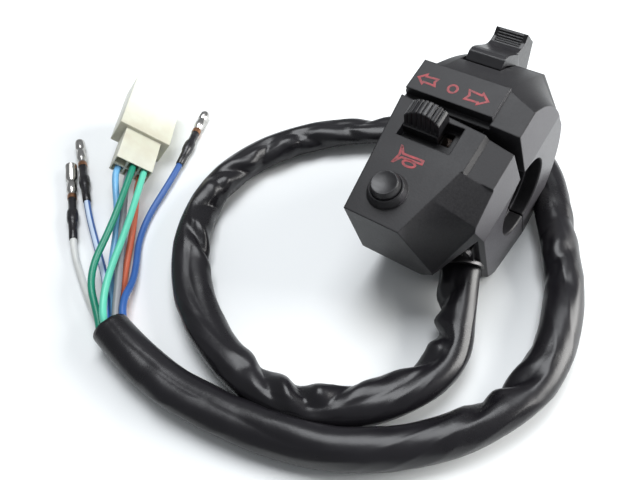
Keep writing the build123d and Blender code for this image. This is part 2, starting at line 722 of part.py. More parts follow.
def turn_rivet_places():
    mid = knob_mid() + KNOB_TRAVEL / 2
    row = (SLIDER_Y[0] + SLIDER_Y[1]) / 2
    return [(mid + k * RIVET_PITCH, row) for k in (-1, 0, 1)]


def rivet(base, up):
    """Contact rivet through a board, with its soldered tail."""
    down = tuple(-c for c in up)
    made = rod(base, up, RIVET_R, RIVET_HEAD)
    made += rod(base, down, RIVET_R / 2, BOARD_T + RIVET_TAIL)
    return made


def turn_contact_rivets():
    return [rivet((px, py, board_top()), (0, 0, 1)) for px, py in turn_rivet_places()]


def turn_board_screws():
    length = pocket_floor() - board_top() + BOARD_T - OVERRUN
    return [cheese_screw((px, py, board_top() - BOARD_T), (0, 0, 1), BOARD_SCREW_R,
                         SCREW_HEAD_R, SCREW_HEAD_T, length) for px, py in board_posts()]


# horn

def horn_button():
    """Push button with a dished cap, a flange and a contact skirt."""
    up = (0, 0, 1)
    top, flange = PANEL_Z + HORN_TOP, horn_flange_top()
    base = flange - HORN_FLANGE_T
    body = rod((HORN_X, HORN_Y, base), up, HORN_FLANGE_R, HORN_FLANGE_T)
    body += rod((HORN_X, HORN_Y, base), up, HORN_R, top - HORN_CAP_H - base)
    body += taper((HORN_X, HORN_Y, top - HORN_CAP_H), up, HORN_R, HORN_TOP_R, HORN_CAP_H)
    dish_r = (HORN_TOP_R * HORN_TOP_R + HORN_DISH * HORN_DISH) / (2 * HORN_DISH)
    body -= Pos(HORN_X, HORN_Y, top + dish_r - HORN_DISH) * Sphere(dish_r)
    skirt = base - HORN_SKIRT_H
    body += ring((HORN_X, HORN_Y, skirt), up, HORN_SKIRT_R, HORN_SKIRT_R - HORN_SKIRT_T,
                 HORN_SKIRT_H)
    stem_end = horn_plate_top() + HORN_STEM_END
    body += rod((HORN_X, HORN_Y, stem_end), up, HORN_STEM_R, base - stem_end)
    return body


def horn_contact_ring():
    """Brass ring on the end of the skirt."""
    return ring((HORN_X, HORN_Y, horn_ring_bottom()), (0, 0, 1), HORN_SKIRT_R,
                HORN_SKIRT_R - HORN_SKIRT_T, CONTACT_RING_T)


def horn_return_spring():
    """Coil spring between the contact plate and the flange."""
    low, high = horn_plate_top(), horn_flange_top() - HORN_FLANGE_T
    height = high - low - SPRING_WIRE_R * 2
    coil = Helix(height / SPRING_TURNS, height, SPRING_R)
    start = Plane(coil @ 0, z_dir=coil % 0)
    wire = sweep(start * Circle(SPRING_WIRE_R), path=coil)
    return Pos(HORN_X, HORN_Y, low + SPRING_WIRE_R) * wire


def horn_contact_plate():
    """Fixed brass contact plate on two studs."""
    top = horn_plate_top()
    body = block((HORN_X - HORN_PLATE_W / 2, HORN_X + HORN_PLATE_W / 2),
                 (HORN_Y - HORN_PLATE_H / 2, HORN_Y + HORN_PLATE_H / 2),
                 (top - HORN_PLATE_T, top))
    for px, py in plate_posts():
        body -= rod((px, py, top - HORN_PLATE_T), (0, 0, 1), PLATE_STUD_R, HORN_PLATE_T)
    return body


# beam lever

TOE_SHARES = [(0.008, 0.894), (0.1375, 0.975), (0.204, 0.95), (0.267, 0.881), (0.346, 0.77),
              (0.429, 0.6375), (0.508, 0.519), (0.4896, 0.1375), (0.383, 0.41),
              (0.167, 0.744)]
FINGER_SHARES = [(0.346, 0.77), (0.429, 0.6375), (0.508, 0.519), (0.583, 0.431),
                 (0.667, 0.3875), (0.758, 0.394), (0.858, 0.494), (1.0, 0.0625),
                 (0.821, -0.494), (0.75, -0.581), (0.4896, -0.55), (0.4896, 0.1375),
                 (0.383, 0.41)]
STEM_SHARES = [(0.167, 0.76), (0.346, 0.77), (0.508, 0.50), (0.46, 0.13), (0.13, -0.12),
               (-0.13, 0.0), (0.03, 0.74)]
THUMB_RIB_SHARES = [(0.700, 0.384), (0.735, 0.389), (0.770, 0.402), (0.803, 0.432), (0.833, 0.464)]


def lever_points(shares):
    return [(PIVOT_Y + a * LEVER_REACH, PIVOT_Z + b * LEVER_TOE) for a, b in shares]


def lever_arm_end():
    """Lower end of the lever's inner arm, over the contacts."""
    return CHAMBER_FLOOR + BOARD_T + RIVET_HEAD + BEAM_WIPER_GAP + WIPER_T


def beam_lever():
    """Rocking lever: toe, ribbed finger, stem, hub and inner arm."""
    toe = side_prism(lever_points(TOE_SHARES), LEVER_X)
    finger = side_prism(lever_points(FINGER_SHARES), FINGER_X)
    body = toe + finger
    for ry, rz in lever_points(THUMB_RIB_SHARES):
        body += rod((FINGER_X[0] + THUMB_RIB_INSET, ry, rz), (1, 0, 0), THUMB_RIB_R,
                    FINGER_X[1] - FINGER_X[0] - THUMB_RIB_INSET * 2)
    body += side_prism(lever_points(STEM_SHARES), STEM_X)
    body += rod((HUB_X[0], PIVOT_Y, PIVOT_Z), (1, 0, 0), HUB_R, HUB_X[1] - HUB_X[0])
    body += block(STEM_X, (lever_arm_end(), PIVOT_Y), (PIVOT_Z - ARM_HALF, PIVOT_Z + ARM_HALF))
    body -= rod((HUB_X[0] - OVERRUN, PIVOT_Y, PIVOT_Z), (1, 0, 0), PIVOT_R + PIVOT_FIT,
                HUB_X[1] - HUB_X[0] + OVERRUN * 2)
    hole = rod((STEM_X[1] + OVERRUN, BEAM_BALL_Y, PIVOT_Z), (-1, 0, 0), BALL_R,
               OVERRUN + SLIDER_T)
    return body - hole


def beam_pivot_pin():
    """Steel pin through the lugs and the hub."""
    start = HUB_X[0] - LUG_GAP - LUG_T
    return rod((start, PIVOT_Y, PIVOT_Z), (1, 0, 0), PIVOT_R,
               HUB_X[1] - HUB_X[0] + (LUG_GAP + LUG_T) * 2)


def beam_ball_x():
    return HUB_X[1] + LUG_GAP - FIT / 3 - BALL_R


def beam_detent_ball():
    """Steel ball against the side of the right lug."""
    return Pos(beam_ball_x(), BEAM_BALL_Y, PIVOT_Z) * Sphere(BALL_R)


def beam_detent_spring():
    """Short spring behind the ball."""
    start = STEM_X[1] - SLIDER_T
    return ring((start, BEAM_BALL_Y, PIVOT_Z), (1, 0, 0), BALL_R, BALL_R - SPRING_WALL,
                beam_ball_x() - ball_seat() - start)


def beam_board_x():
    return HUB_X[0] + BEAM_BOARD_INSET, HUB_X[1] - BEAM_BOARD_INSET


def beam_board_top():
    return CHAMBER_FLOOR + BOARD_T


def beam_rivet_places():
    mid = (HUB_X[0] + HUB_X[1]) / 2
    return [(mid, PIVOT_Z + k * RIVET_R * 2.2) for k in (-1, 0, 1)]


def beam_contact_board():
    """Laminate board on the chamber floor under the lever's arm."""
    body = block(beam_board_x(), (CHAMBER_FLOOR, beam_board_top()), BEAM_BOARD_Z)
    for sx, sz in beam_screw_places():
        body -= rod((sx, CHAMBER_FLOOR, sz), (0, 1, 0), BOARD_SCREW_R, BOARD_T)
    for px, pz in beam_rivet_places():
        body -= rod((px, CHAMBER_FLOOR, pz), (0, 1, 0), RIVET_R / 2, BOARD_T)
    return body


def beam_contact_rivets():
    made = []
    for px, pz in beam_rivet_places():
        head = rod((px, beam_board_top(), pz), (0, 1, 0), RIVET_R, RIVET_HEAD)
        made.append(head + rod((px, CHAMBER_FLOOR, pz), (0, 1, 0), RIVET_R / 2, BOARD_T))
    return made


def beam_wiper():
    """Copper strip across the end of the lever's arm."""
    return block((STEM_X[0] + FIT, STEM_X[1] - FIT), (lever_arm_end() - WIPER_T, lever_arm_end()),
                 (PIVOT_Z - BEAM_WIPER_HALF, PIVOT_Z + BEAM_WIPER_HALF))


def beam_board_screws():
    return [cheese_screw((sx, beam_board_top(), sz), (0, -1, 0), BOARD_SCREW_R,
                         SCREW_HEAD_R, SCREW_HEAD_T, BOARD_T + WALL - FIT - FIT)
            for sx, sz in beam_screw_places()]


# cable exit

def cable_grommet():
    """Ring at the bottom of the socket that the sleeve ends on."""
    tip, out = socket_frame()
    floor = along(tip, out, -SOCKET_DEPTH)
    return ring(floor, out, SOCKET_R, GROMMET_BORE, GROMMET_T)


def cable_clamp():
    """Strap over the sleeve where it leaves, screwed under the shoulder."""
    tip, out = socket_frame()
    outer = SLEEVE_R + CLAMP_STRAP_T + FIT
    strap = ring(tip, out, outer, SLEEVE_R + FIT / 2, CLAMP_STRAP_W)
    strap &= block((EXIT_X - SLEEVE_R + FIT * 2, RIGHT_X), (-BIG, SHOULDER_Y),
                   (EXIT_Z + FIT, BIG))
    tab = block((STRAP_SCREW_X - STRAP_HEAD_R, STRAP_SCREW_X + STRAP_HEAD_R),
                (SHOULDER_Y - CLAMP_STRAP_T, SHOULDER_Y),
                (EXIT_Z + SLEEVE_R, STRAP_SCREW_Z + STRAP_HEAD_R))
    room = rod(along(tip, out, -BIG), out, SLEEVE_R + FIT / 2, BIG + BIG)
    tab -= room
    body = strap + tab
    return body - rod((STRAP_SCREW_X, SHOULDER_Y - BIG, STRAP_SCREW_Z), (0, 1, 0),
                      STRAP_SCREW_R, BIG)


def cable_clamp_screw():
    seat = (STRAP_SCREW_X, SHOULDER_Y - CLAMP_STRAP_T, STRAP_SCREW_Z)
    return cheese_screw(seat, (0, 1, 0), STRAP_SCREW_R, STRAP_HEAD_R, STRAP_HEAD_T,
                        STRAP_SCREW_LEN - STRAP_HEAD_T)


# cords: routes in the world, on the table

SLEEVE_ROUTE = [
    (26.5, -55, 6.05), (17, -76, 6.05), (-4, -92, 6.05), (-33, -89, 6.05),
    (-60, -74, 6.05), (-78, -50, 6.05), (-81, -21, 6.05), (-66, 6, 6.05),
    (-43, 22, 6.05), (-18, 41, 6.05), (12, 37, 6.05), (30, 8, 6.05), (45, -18, 6.05),
    (50, -47, 6.05), (38, -74, 6.05), (14, -95, 6.05), (-16, -103, 6.05),
    (-44, -106, 6.05), (-65.95, -101.52, 6.05),
]
SLEEVE_LEAD = 20.0          # straight out of the case
MOUTH_OUT = (-0.98, 0.2)    # the way the far end of the sleeve points
MOUTH_SIDE = (0.2, 0.98)

# each wire: side step and height where it leaves the sleeve, then its route
WIRE_ROUTES = {
    "wire_white": (-2.7, 2.75, [(-83.5, -99.5, 1.3), (-97, -91.0, 1.25)]),
    "wire_blue_white": (-1.4, 5.35, [(-84, -92.3, 2.6), (-103, -79.0, 1.25)]),
    "wire_light_blue": (0.0, 2.75, [(-84.5, -88.2, 1.3), (-100.0, -72.2, 1.25)]),
    "wire_grey": (1.4, 5.35, [(-82.5, -88.3, 4.1), (-98, -70.8, 3.9)]),
    "wire_orange": (2.7, 2.75, [(-80.7, -86.2, 1.3), (-93.5, -69.5, 1.3)]),
    "wire_blue": (3.9, 5.35, [(-79.5, -83.5, 2.6), (-91.0, -66.5, 1.25)]),
    "wire_dark_green": (-3.9, 5.35, [(-87, -95.0, 4.8), (-98, -82.0, 4.5)]),
    "wire_mint": (-1.2, 8.0, [(-83, -94.5, 6.8), (-94, -77.5, 6.6)]),
}
CONNECTOR_CELLS = {
    "wire_light_blue": (-1, ROW_LOW), "wire_dark_green": (0, ROW_HIGH),
    "wire_grey": (0, ROW_LOW), "wire_orange": (1, ROW_LOW), "wire_mint": (1, ROW_HIGH),
}
CELL_LEAD = 10.0            # straight run out of a cell
MOUTH_LEAD = 7.0            # straight run out of the sleeve
END_LEAD = 9.0              # straight run out of an insulator
# each loose terminal: end of the insulator on the wire side, tip of the metal,
# length of the insulator and height of the axis
LOOSE_ENDS = {
    "white": ((-110.9, -84.3), (-143.0, -59.4), WHITE_INSULATOR, INSULATOR_Z),
    "blue_white": ((-120.9, -68.3), (-151.8, -46.6), BLUE_WHITE_INSULATOR, INSULATOR_Z),
    "blue": ((-105.2, -33.6), (-118.4, -4.2), BLUE_INSULATOR, INSULATOR_Z),
}


def unit(a, b):
    """Direction from one point to another."""
    size = math.dist(a, b)
    return tuple((q - p) / size for p, q in zip(a, b))


def cord(name, route, radius):
    """Tube on straight runs and tangent arcs, with its checks printed."""
    points = [Vector(*p) for p in route]
    radii = []
    for a, b, c in zip(points, points[1:], points[2:]):
        turn = (b - a).get_angle(c - b)
        short = min((b - a).length, (c - b).length)
        radii.append(0.45 * short / math.tan(math.radians(turn) / 2))
    path = FilletPolyline(*points, radius=radii)
    start = Plane(path @ 0, z_dir=path % 0)
    tube = sweep(start * Circle(radius), path=path)
    ideal = math.pi * radius * radius * path.length
    print(name, "length %.1f" % path.length, "volume share %.4f" % (tube.volume / ideal),
          "radii in diameters", [round(r / radius / 2, 1) for r in radii])
    return tube


def world_point(point):
    """Point of the case frame on the table."""
    x, y, z = point
    return (x + TABLE_SHIFT_X, y * REST_COS - z * REST_SIN + TABLE_SHIFT_Y,
            y * REST_SIN + z * REST_COS + REST_HEIGHT)


def sleeve_route():
    tip, out = socket_frame()
    start = along(tip, out, GROMMET_T - SOCKET_DEPTH)
    lead = along(start, out, SLEEVE_LEAD)
    return [world_point(start), world_point(lead)] + SLEEVE_ROUTE


def harness_sleeve():
    """Loose sleeve over the wires, from the case to its open end."""
    return cord("harness_sleeve", sleeve_route(), SLEEVE_R)


def connector_point(along_axis, side, height):
    """World point from the middle of the connector's open end."""
    ux, uy = CONNECTOR_DIR
    x, y = CONNECTOR_FAR
    return (x + ux * along_axis - uy * side, y + uy * along_axis + ux * side, height)


def connector_block(run, side, height):
    """Box in the connector's own directions."""
    angle = math.degrees(math.atan2(CONNECTOR_DIR[1], CONNECTOR_DIR[0]))
    shape = Rot(0, 0, angle) * block(run, side, height)
    return Pos(CONNECTOR_FAR[0], CONNECTOR_FAR[1], 0) * shape


def loose_end(name):
    """Wire end of the insulator, its direction and the height of its axis."""
    back, tip, length, height = LOOSE_ENDS[name]
    way = unit(back, tip)
    return (back[0], back[1], height), (way[0], way[1], 0.0), length, math.dist(back, tip)


def wire_route(name):
    """From the mouth of the sleeve to a connector cell or a loose end."""
    side, height, middle = WIRE_ROUTES[name]
    mx, my, mz = SLEEVE_ROUTE[-1]
    x, y = mx + MOUTH_SIDE[0] * side, my + MOUTH_SIDE[1] * side
    out = (MOUTH_OUT[0] * MOUTH_LEAD, MOUTH_OUT[1] * MOUTH_LEAD)
    route = [(x, y, height), (x + out[0], y + out[1], height)] + middle
    if name in CONNECTOR_CELLS:
        column, row = CONNECTOR_CELLS[name]
        end = CONNECTOR_WIDE + CONNECTOR_NECK
        route.append(connector_point(end + CELL_LEAD, column * CELL_PITCH, row))
        route.append(connector_point(end, column * CELL_PITCH, row))
    else:
        back, way, length, reach = loose_end(name.replace("wire_", ""))
        route += [along(back, way, -END_LEAD), back]
    return route


def wire(name):
    return cord(name, wire_route(name), WIRE_R)


def connector_housing():
    """Nylon housing: open shroud, neck for the wires, latch and cells."""
    half, neck = CONNECTOR_W / 2, CONNECTOR_NECK_W / 2
    low = (CONNECTOR_H - CONNECTOR_NECK_H) / 2
    body = connector_block((0, CONNECTOR_WIDE), (-half, half), (0, CONNECTOR_H))
    body += connector_block((CONNECTOR_WIDE - OVERRUN, CONNECTOR_WIDE + CONNECTOR_NECK),
                            (-neck, neck), (low, CONNECTOR_H - low))
    inner = half - CONNECTOR_WALL
    body -= connector_block((-OVERRUN, SHROUD_DEPTH), (-inner, inner),
                            (CONNECTOR_WALL, CONNECTOR_H - CONNECTOR_WALL))
    body += connector_block((CONNECTOR_WIDE / 2, CONNECTOR_WIDE / 2 + LATCH_L),
                            (-LATCH_W / 2, LATCH_W / 2),
                            (CONNECTOR_H - OVERRUN, CONNECTOR_H + LATCH_T))
    for column, row in CONNECTOR_CELLS.values():
        y = column * CELL_PITCH
        body -= connector_block((SHROUD_DEPTH - TAB_ROOT / 2, SHROUD_DEPTH + TAB_ROOT),
                                (y - TAB_W / 2, y + TAB_W / 2),
                                (row - TAB_T / 2, row + TAB_T / 2))
    return body


def connector_terminals():
    """Tin-plated tabs standing in the shroud, one for each wire."""
    made = []
    for column, row in CONNECTOR_CELLS.values():
        y = column * CELL_PITCH
        made.append(connector_block((SHROUD_DEPTH - TAB_L, SHROUD_DEPTH + TAB_ROOT),
                                    (y - TAB_W / 2, y + TAB_W / 2),
                                    (row - TAB_T / 2, row + TAB_T / 2)))
    return made


def insulator(name):
    """Insulating sleeve of a loose terminal, tapered towards its wire."""
    back, way, length, reach = loose_end(name)
    body = taper(back, way, INSULATOR_TIP_R, INSULATOR_R, INSULATOR_TIP)
    return body + rod(along(back, way, INSULATOR_TIP), way, INSULATOR_R,
                      length - INSULATOR_TIP)


def bullet(name):
    """Male bullet: crimp neck, groove and rounded nose."""
    back, way, length, reach = loose_end(name)
    start = along(back, way, length)
    size = reach - length
    neck = size * 0.3
    body = rod(start, way, BULLET_NECK_R, neck)
    body += rod(along(start, way, neck), way, BULLET_R, size - neck - BULLET_R)
    nose = Pos(*along(start, way, size - BULLET_R)) * Sphere(BULLET_R)
    return body + nose


def bullet_female():
    """Female socket of the white wire, open at its end."""
    back, way, length, reach = loose_end("white")
    start = along(back, way, length)
    size = reach - length
    body = rod(start, way, FEMALE_R, size)
    return body - rod(along(start, way, size - FEMALE_DEPTH), way, FEMALE_BORE, BIG)


CASE_PIECES = [
    lower_case, upper_case, clamp_screws, turn_knob, turn_slider, turn_wiper,
    turn_contact_board, turn_contact_rivets, turn_board_screws, turn_detent_ball,
    turn_detent_spring, horn_button, horn_contact_ring, horn_return_spring,
    horn_contact_plate, beam_lever, beam_pivot_pin, beam_detent_ball,
    beam_detent_spring, beam_contact_board, beam_contact_rivets, beam_wiper,
    beam_board_screws, cable_grommet, cable_clamp, cable_clamp_screw,
]


def laid_down(shape):
    """From the case frame to the table."""
    return shape.rotate(Axis.X, TILT).translate((TABLE_SHIFT_X, TABLE_SHIFT_Y, REST_HEIGHT))


def write_node(name, made):
    shapes = made if isinstance(made, list) else [made]
    solids = [s for shape in shapes for s in shape.solids()]
    whole = solids[0] if len(solids) == 1 else Compound(children=solids)
    export_step(whole, os.path.join("parts", name + ".step"))
    return whole


def main():
    os.makedirs("parts", exist_ok=True)
    low, high = None, None
    for piece in CASE_PIECES:
        made = piece()
        shapes = made if isinstance(made, list) else [made]
        whole = write_node(piece.__name__, [laid_down(s) for s in shapes])
        box = whole.bounding_box()
        low = box.min if low is None else Vector(*map(min, low, box.min))
        high = box.max if high is None else Vector(*map(max, high, box.max))
    print("case box", low, high, "middle", (low + high) * 0.5)
    write_node("harness_sleeve", harness_sleeve())
    for name in WIRE_ROUTES:
        write_node(name, wire(name))
    write_node("connector_housing", connector_housing())
    write_node("connector_terminals", connector_terminals())
    for name in LOOSE_ENDS:
        write_node("insulator_" + name, insulator(name))
    write_node("bullet_female_white", bullet_female())
    for name in ("blue", "blue_white"):
        write_node("bullet_male_" + name, bullet(name))


main()
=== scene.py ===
"""Dresses the left handlebar switch: moulded case, controls, harness and the white table."""
import json
import math
import random

import bmesh
import bpy
from bpy.props import FloatProperty, FloatVectorProperty, IntProperty, PointerProperty
from mathutils import Matrix, Vector, noise

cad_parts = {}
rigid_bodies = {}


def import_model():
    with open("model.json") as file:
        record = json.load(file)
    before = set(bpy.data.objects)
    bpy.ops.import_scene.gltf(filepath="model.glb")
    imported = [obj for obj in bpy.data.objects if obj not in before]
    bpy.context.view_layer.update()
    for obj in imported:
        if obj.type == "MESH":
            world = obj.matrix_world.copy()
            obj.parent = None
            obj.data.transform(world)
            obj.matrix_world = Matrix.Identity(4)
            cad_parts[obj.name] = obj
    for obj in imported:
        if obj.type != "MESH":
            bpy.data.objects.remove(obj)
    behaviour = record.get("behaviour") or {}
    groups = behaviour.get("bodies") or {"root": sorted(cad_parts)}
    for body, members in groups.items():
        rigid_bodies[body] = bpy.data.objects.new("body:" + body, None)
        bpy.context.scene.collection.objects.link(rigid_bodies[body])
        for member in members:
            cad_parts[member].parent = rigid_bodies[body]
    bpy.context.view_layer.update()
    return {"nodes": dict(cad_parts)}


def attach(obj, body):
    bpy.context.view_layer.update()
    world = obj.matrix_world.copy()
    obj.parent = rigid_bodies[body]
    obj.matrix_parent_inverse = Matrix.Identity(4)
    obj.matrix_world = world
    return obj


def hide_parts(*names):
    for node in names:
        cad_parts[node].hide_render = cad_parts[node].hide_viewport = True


bl_info = {
    "name": "Handlebar Switch",
    "version": (1, 0, 0),
    "blender": (4, 5, 0),
    "location": "View3D > Sidebar > Switch",
    "description": "Finishes and fine pieces of a left handlebar switch with its harness",
    "category": "Object",
}

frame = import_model()
MM = 0.001

# the case lies on its back: from its own frame, in which the panels are level, to the table
CASE_TILT = math.radians(18.0)
CASE_SHIFT = Vector((-0.1, -1.716, 24.0)) * MM
CASE_TO_TABLE = Matrix.Translation(CASE_SHIFT) @ Matrix.Rotation(CASE_TILT, 4, "X")

# panels in the case's own frame, in mm: the arrow panel stands higher and falls away
PANEL_Z = 27.4
ARROW_PANEL_STEP = 1.3
ARROW_PANEL_FRONT, ARROW_PANEL_DEPTH, ARROW_PANEL_FALL = 4.9, 11.1, 0.45
# a symbol's paint: thickness, how much of it is sunk, and its edge, in mm
PAINT_THICK, PAINT_SUNK, PAINT_EDGE = 0.12, 0.07, 0.06

# control points of the cords, on the table, in mm
SLEEVE_ROUTE = [
    (10.01, -19.88, 13.74), (18.42, -36.41, 6.26), (26.5, -55, 6.05), (17, -76, 6.05),
    (-4, -92, 6.05), (-33, -89, 6.05), (-60, -74, 6.05), (-78, -50, 6.05),
    (-81, -21, 6.05), (-66, 6, 6.05), (-43, 22, 6.05), (-18, 41, 6.05), (12, 37, 6.05),
    (30, 8, 6.05), (45, -18, 6.05), (50, -47, 6.05), (38, -74, 6.05), (14, -95, 6.05),
    (-16, -103, 6.05), (-44, -106, 6.05), (-65.95, -101.52, 6.05),
]
WIRE_ROUTES = {
    "white": [(-66.49, -104.17, 2.75), (-72.24, -101.58, 2.75), (-82.78, -97.81, 1.3),
              (-96.63, -91.04, 1.25), (-105.3, -86.1, 2.42), (-109.3, -83, 2.42)],
    "blue_white": [(-66.23, -102.89, 5.35), (-71.62, -98.89, 5.35), (-82.29, -90.19, 2.6),
                   (-102.37, -78.81, 1.25), (-114.3, -71.7, 2.42), (-120, -67.7, 2.42)],
    "light_blue": [(-65.95, -101.52, 2.75), (-70.43, -97.56, 2.75), (-83.39, -88.57, 3),
                   (-97.46, -70.01, 7), (-110.97, -57.75, 12.03), (-113.52, -54.04, 12.03)],
    "grey": [(-65.67, -100.15, 5.35), (-70.17, -96.25, 5.35), (-79.77, -85.78, 6),
             (-96.51, -69.16, 6.6), (-108.2, -55.84, 9.21), (-110.75, -52.13, 9.21)],
    "orange": [(-65.41, -98.87, 2.75), (-69.82, -95.08, 2.75), (-82.29, -82.98, 1.5),
               (-95.04, -66.17, 3.4), (-105.42, -53.93, 6.38), (-107.97, -50.22, 6.38)],
    "blue": [(-65.17, -97.7, 5.35), (-71.85, -91.41, 5.35), (-76.8, -82.74, 2.6),
             (-93.38, -65.8, 1.25), (-101.9, -39.3, 2.42), (-104.2, -34.2, 2.42)],
    "dark_green": [(-66.73, -105.34, 5.35), (-72.22, -101.45, 5.35), (-87.08, -92.41, 8),
                   (-94.83, -73.89, 10.5), (-106.18, -54.46, 12.12), (-108.73, -50.75, 12.12)],
    "mint": [(-66.19, -102.7, 8), (-72.2, -98.99, 8), (-79.73, -89.71, 9.2),
             (-90.75, -70.95, 9.2), (-103.41, -52.54, 9.29), (-105.96, -48.83, 9.29)],
}
# how far wires are led on into the sleeve and into the connector, in mm
LEAD_INTO_SLEEVE = (4.9, -1.0)
LEAD_INTO_CONNECTOR = 4.5
# step of a wire's rings in m, their sides, and the unevenness of its skin
WIRE_STEP, WIRE_SIDES, WIRE_WAVER = 0.0006, 20, 0.012
# what each loose wire ends in, way of its axis, length of its insulator and of the whole
LOOSE_ENDS = {
    "white": ("connector", (-0.790, 0.613), 22.0, 40.6),
    "blue_white": ("plug", (-0.818, 0.575), 21.5, 37.8),
    "blue": ("plug", (-0.410, 0.912), 19.5, 32.2),
}
# how much of the crimp shows before the terminal begins, in mm
CRIMP_SHOWN = 0.8
# the connector: middle of its open end, way towards the wires, roll onto its long edge, and
# sizes of its shroud and its neck in mm
CONNECTOR_FAR = (-137.6, -17.2)
CONNECTOR_WAY = (0.567, -0.8237)
CONNECTOR_ROLL = math.radians(40.0)
CONNECTOR_LONG, CONNECTOR_W, CONNECTOR_H = 28.0, 20.0, 11.0
CONNECTOR_NECK, CONNECTOR_NECK_W, CONNECTOR_STEP = 16.0, 14.0, 1.5
CONNECTOR_WALL, CONNECTOR_OPEN = 1.4, 17.0
CELL_WALL, CELL_DEPTH = 0.4, 6.0
# column and height of the five cells that hold a terminal, and their pitch in mm
CONNECTOR_CELLS = [(-1, 3.6), (0, 7.4), (0, 3.6), (1, 3.6), (1, 7.4)]
CELL_PITCH = 4.4
# a tab: middle along the connector, sizes and tip, in mm
TAB_MIDDLE, TAB_SIZE, TAB_TIP = 12.5, (13.0, 2.8, 0.8), 1.5
# edges of the housing and of a tab, and a hair for picking faces, in m
HOUSING_EDGE, TAB_EDGE, NEAR = 0.00022, 0.00012, 0.0005

# the sleeve: step of its rings, how low they may reach from its axis without going into the
# table, and the lengths that stay smooth at the case and turn into the open mouth, in m
SLEEVE_STEP, SLEEVE_FLOOR = 0.00095, -0.0059
SLEEVE_SMOOTH, SLEEVE_MOUTH = 0.010, 0.045
# its wall at the open mouth, as a share of the radius
SLEEVE_WALL = 0.12
# rings over which a bend is measured, and the bend, in radians a metre, that flattens it fully
BEND_RINGS, FULL_BEND = 8, 45.0
# deep creases on the inside of the loop: share of the length, depth, half width in m, slant
SLEEVE_CREASES = [
    (0.036, 0.36, 0.0042, 0.004), (0.056, 0.46, 0.0040, -0.003), (0.082, 0.40, 0.0052, 0.005),
    (0.131, 0.32, 0.0050, -0.005), (0.150, 0.46, 0.0042, 0.003), (0.174, 0.34, 0.0056, 0.006),
    (0.284, 0.42, 0.0036, -0.006), (0.318, 0.46, 0.0072, 0.002), (0.352, 0.24, 0.0045, 0.006),
    (0.380, 0.34, 0.0046, -0.004), (0.415, 0.22, 0.0050, 0.006), (0.459, 0.30, 0.0050, -0.005),
    (0.640, 0.20, 0.0060, 0.004), (0.680, 0.28, 0.0085, -0.003), (0.757, 0.44, 0.0050, 0.005),
    (0.775, 0.30, 0.0050, -0.004),
]
# how far they stand above the inside, in radians, and what depth and width are multiplied by
CREASE_TILT, CREASE_DEPTH, CREASE_WIDTH = 0.80, 0.88, 1.1
# small creases: how many, and the shares of the length between and beyond which they are
# shallow
SMALL_CREASES = 30
SMOOTH_FROM, SMOOTH_TO, SMOOTH_END = 0.19, 0.27, 0.80
# the share of them near the inside, what a shallow one's depth is multiplied by, and the
# ranges that angle, depth, half width in m and slant are drawn from
INSIDE_SHARE, SHALLOW, CREASE_SEED = 0.6, 0.4, 11
NEAR_INSIDE, ANYWHERE = (-1.2, 1.2), (0.1, 3.0)
SMALL_DEPTH, SMALL_WIDTH, SMALL_SLANT = (0.04, 0.17), (0.003, 0.009), (-0.006, 0.006)
# how far along the sleeve a crease is felt, in m
CREASE_NEAR = 0.025
# half angle of a crease round the sleeve, its fall, and the swell beside it
CREASE_HALF_ANGLE, CREASE_FALL = 1.3, 1.25
SWELL, SWELL_PLACE, SWELL_WIDTH = 0.20, 1.35, 0.55
# section: how flat it is (mean, wander, more in a bend; least, most, at the mouth), how far it
# leans, how much it widens and hollows as it flattens, and the fine ripple of its skin
FLAT_MEAN, FLAT_WANDER, FLAT_BEND = 0.13, 0.34, 0.08
FLAT_LEAST, FLAT_MOST, FLAT_MOUTH = 0.03, 0.36, 0.10
LEAN, WIDEN, HOLLOW = 1.3, 0.42, 0.55
RIPPLE, RIPPLE_MEAN, MOUTH_CALM = 0.035, 0.45, 0.75

# outlines of the symbols on the case's own plane, in mm
ARROW_LEFT = [(-18.3, 9.5), (-15.6, 11.9), (-15.4, 10.9), (-11.4, 11.2), (-12.0, 9.6),
              (-11.2, 7.9), (-15.2, 8.1), (-15.4, 7.1)]
ARROW_RIGHT = [(5.4, 9.2), (2.2, 11.9), (2.0, 10.9), (-2.3, 11.3), (-1.4, 9.2), (-2.2, 7.2),
               (2.0, 7.5), (2.2, 6.6)]
BELL = [(-10.9, -12.3), (-10.1, -12.3), (-8.6, -14.4), (-2.0, -14.2), (-1.9, -16.0), (-8.4, -16.3),
        (-9.9, -18.5), (-10.7, -18.5), (-10.0, -15.4)]
# ring between the arrows, and loop of the horn's tube: middle and half sizes
RING, HORN_LOOP = (-6.4, 9.4, 1.75, 1.75), (-5.6, -17.0, 2.3, 1.3)

# lamps: name, place and side in m, power in W, colour
LAMPS = (
    ("window", (0.62, 0.50, 0.34), 0.6, 13.0, (1.0, 0.99, 0.97)),
    ("ceiling", (-0.15, 0.20, 0.9), 0.6, 8.0, (0.95, 0.97, 1.0)),
)
ROOM_COLOUR, ROOM_STRENGTH = (0.93, 0.96, 1.0, 1), 0.30
# camera: place in m, its right and down, and its lens for a 36 mm sensor
CAMERA_PLACE = (0.06335, -0.14247, 0.17062)
CAMERA_RIGHT = Vector((0.79808, 0.59657, -0.0847))
CAMERA_DOWN = Vector((0.41058, -0.6413, -0.6482))
SENSOR_WIDTH, LENS = 36.0, 36.56


# settings that a user would change

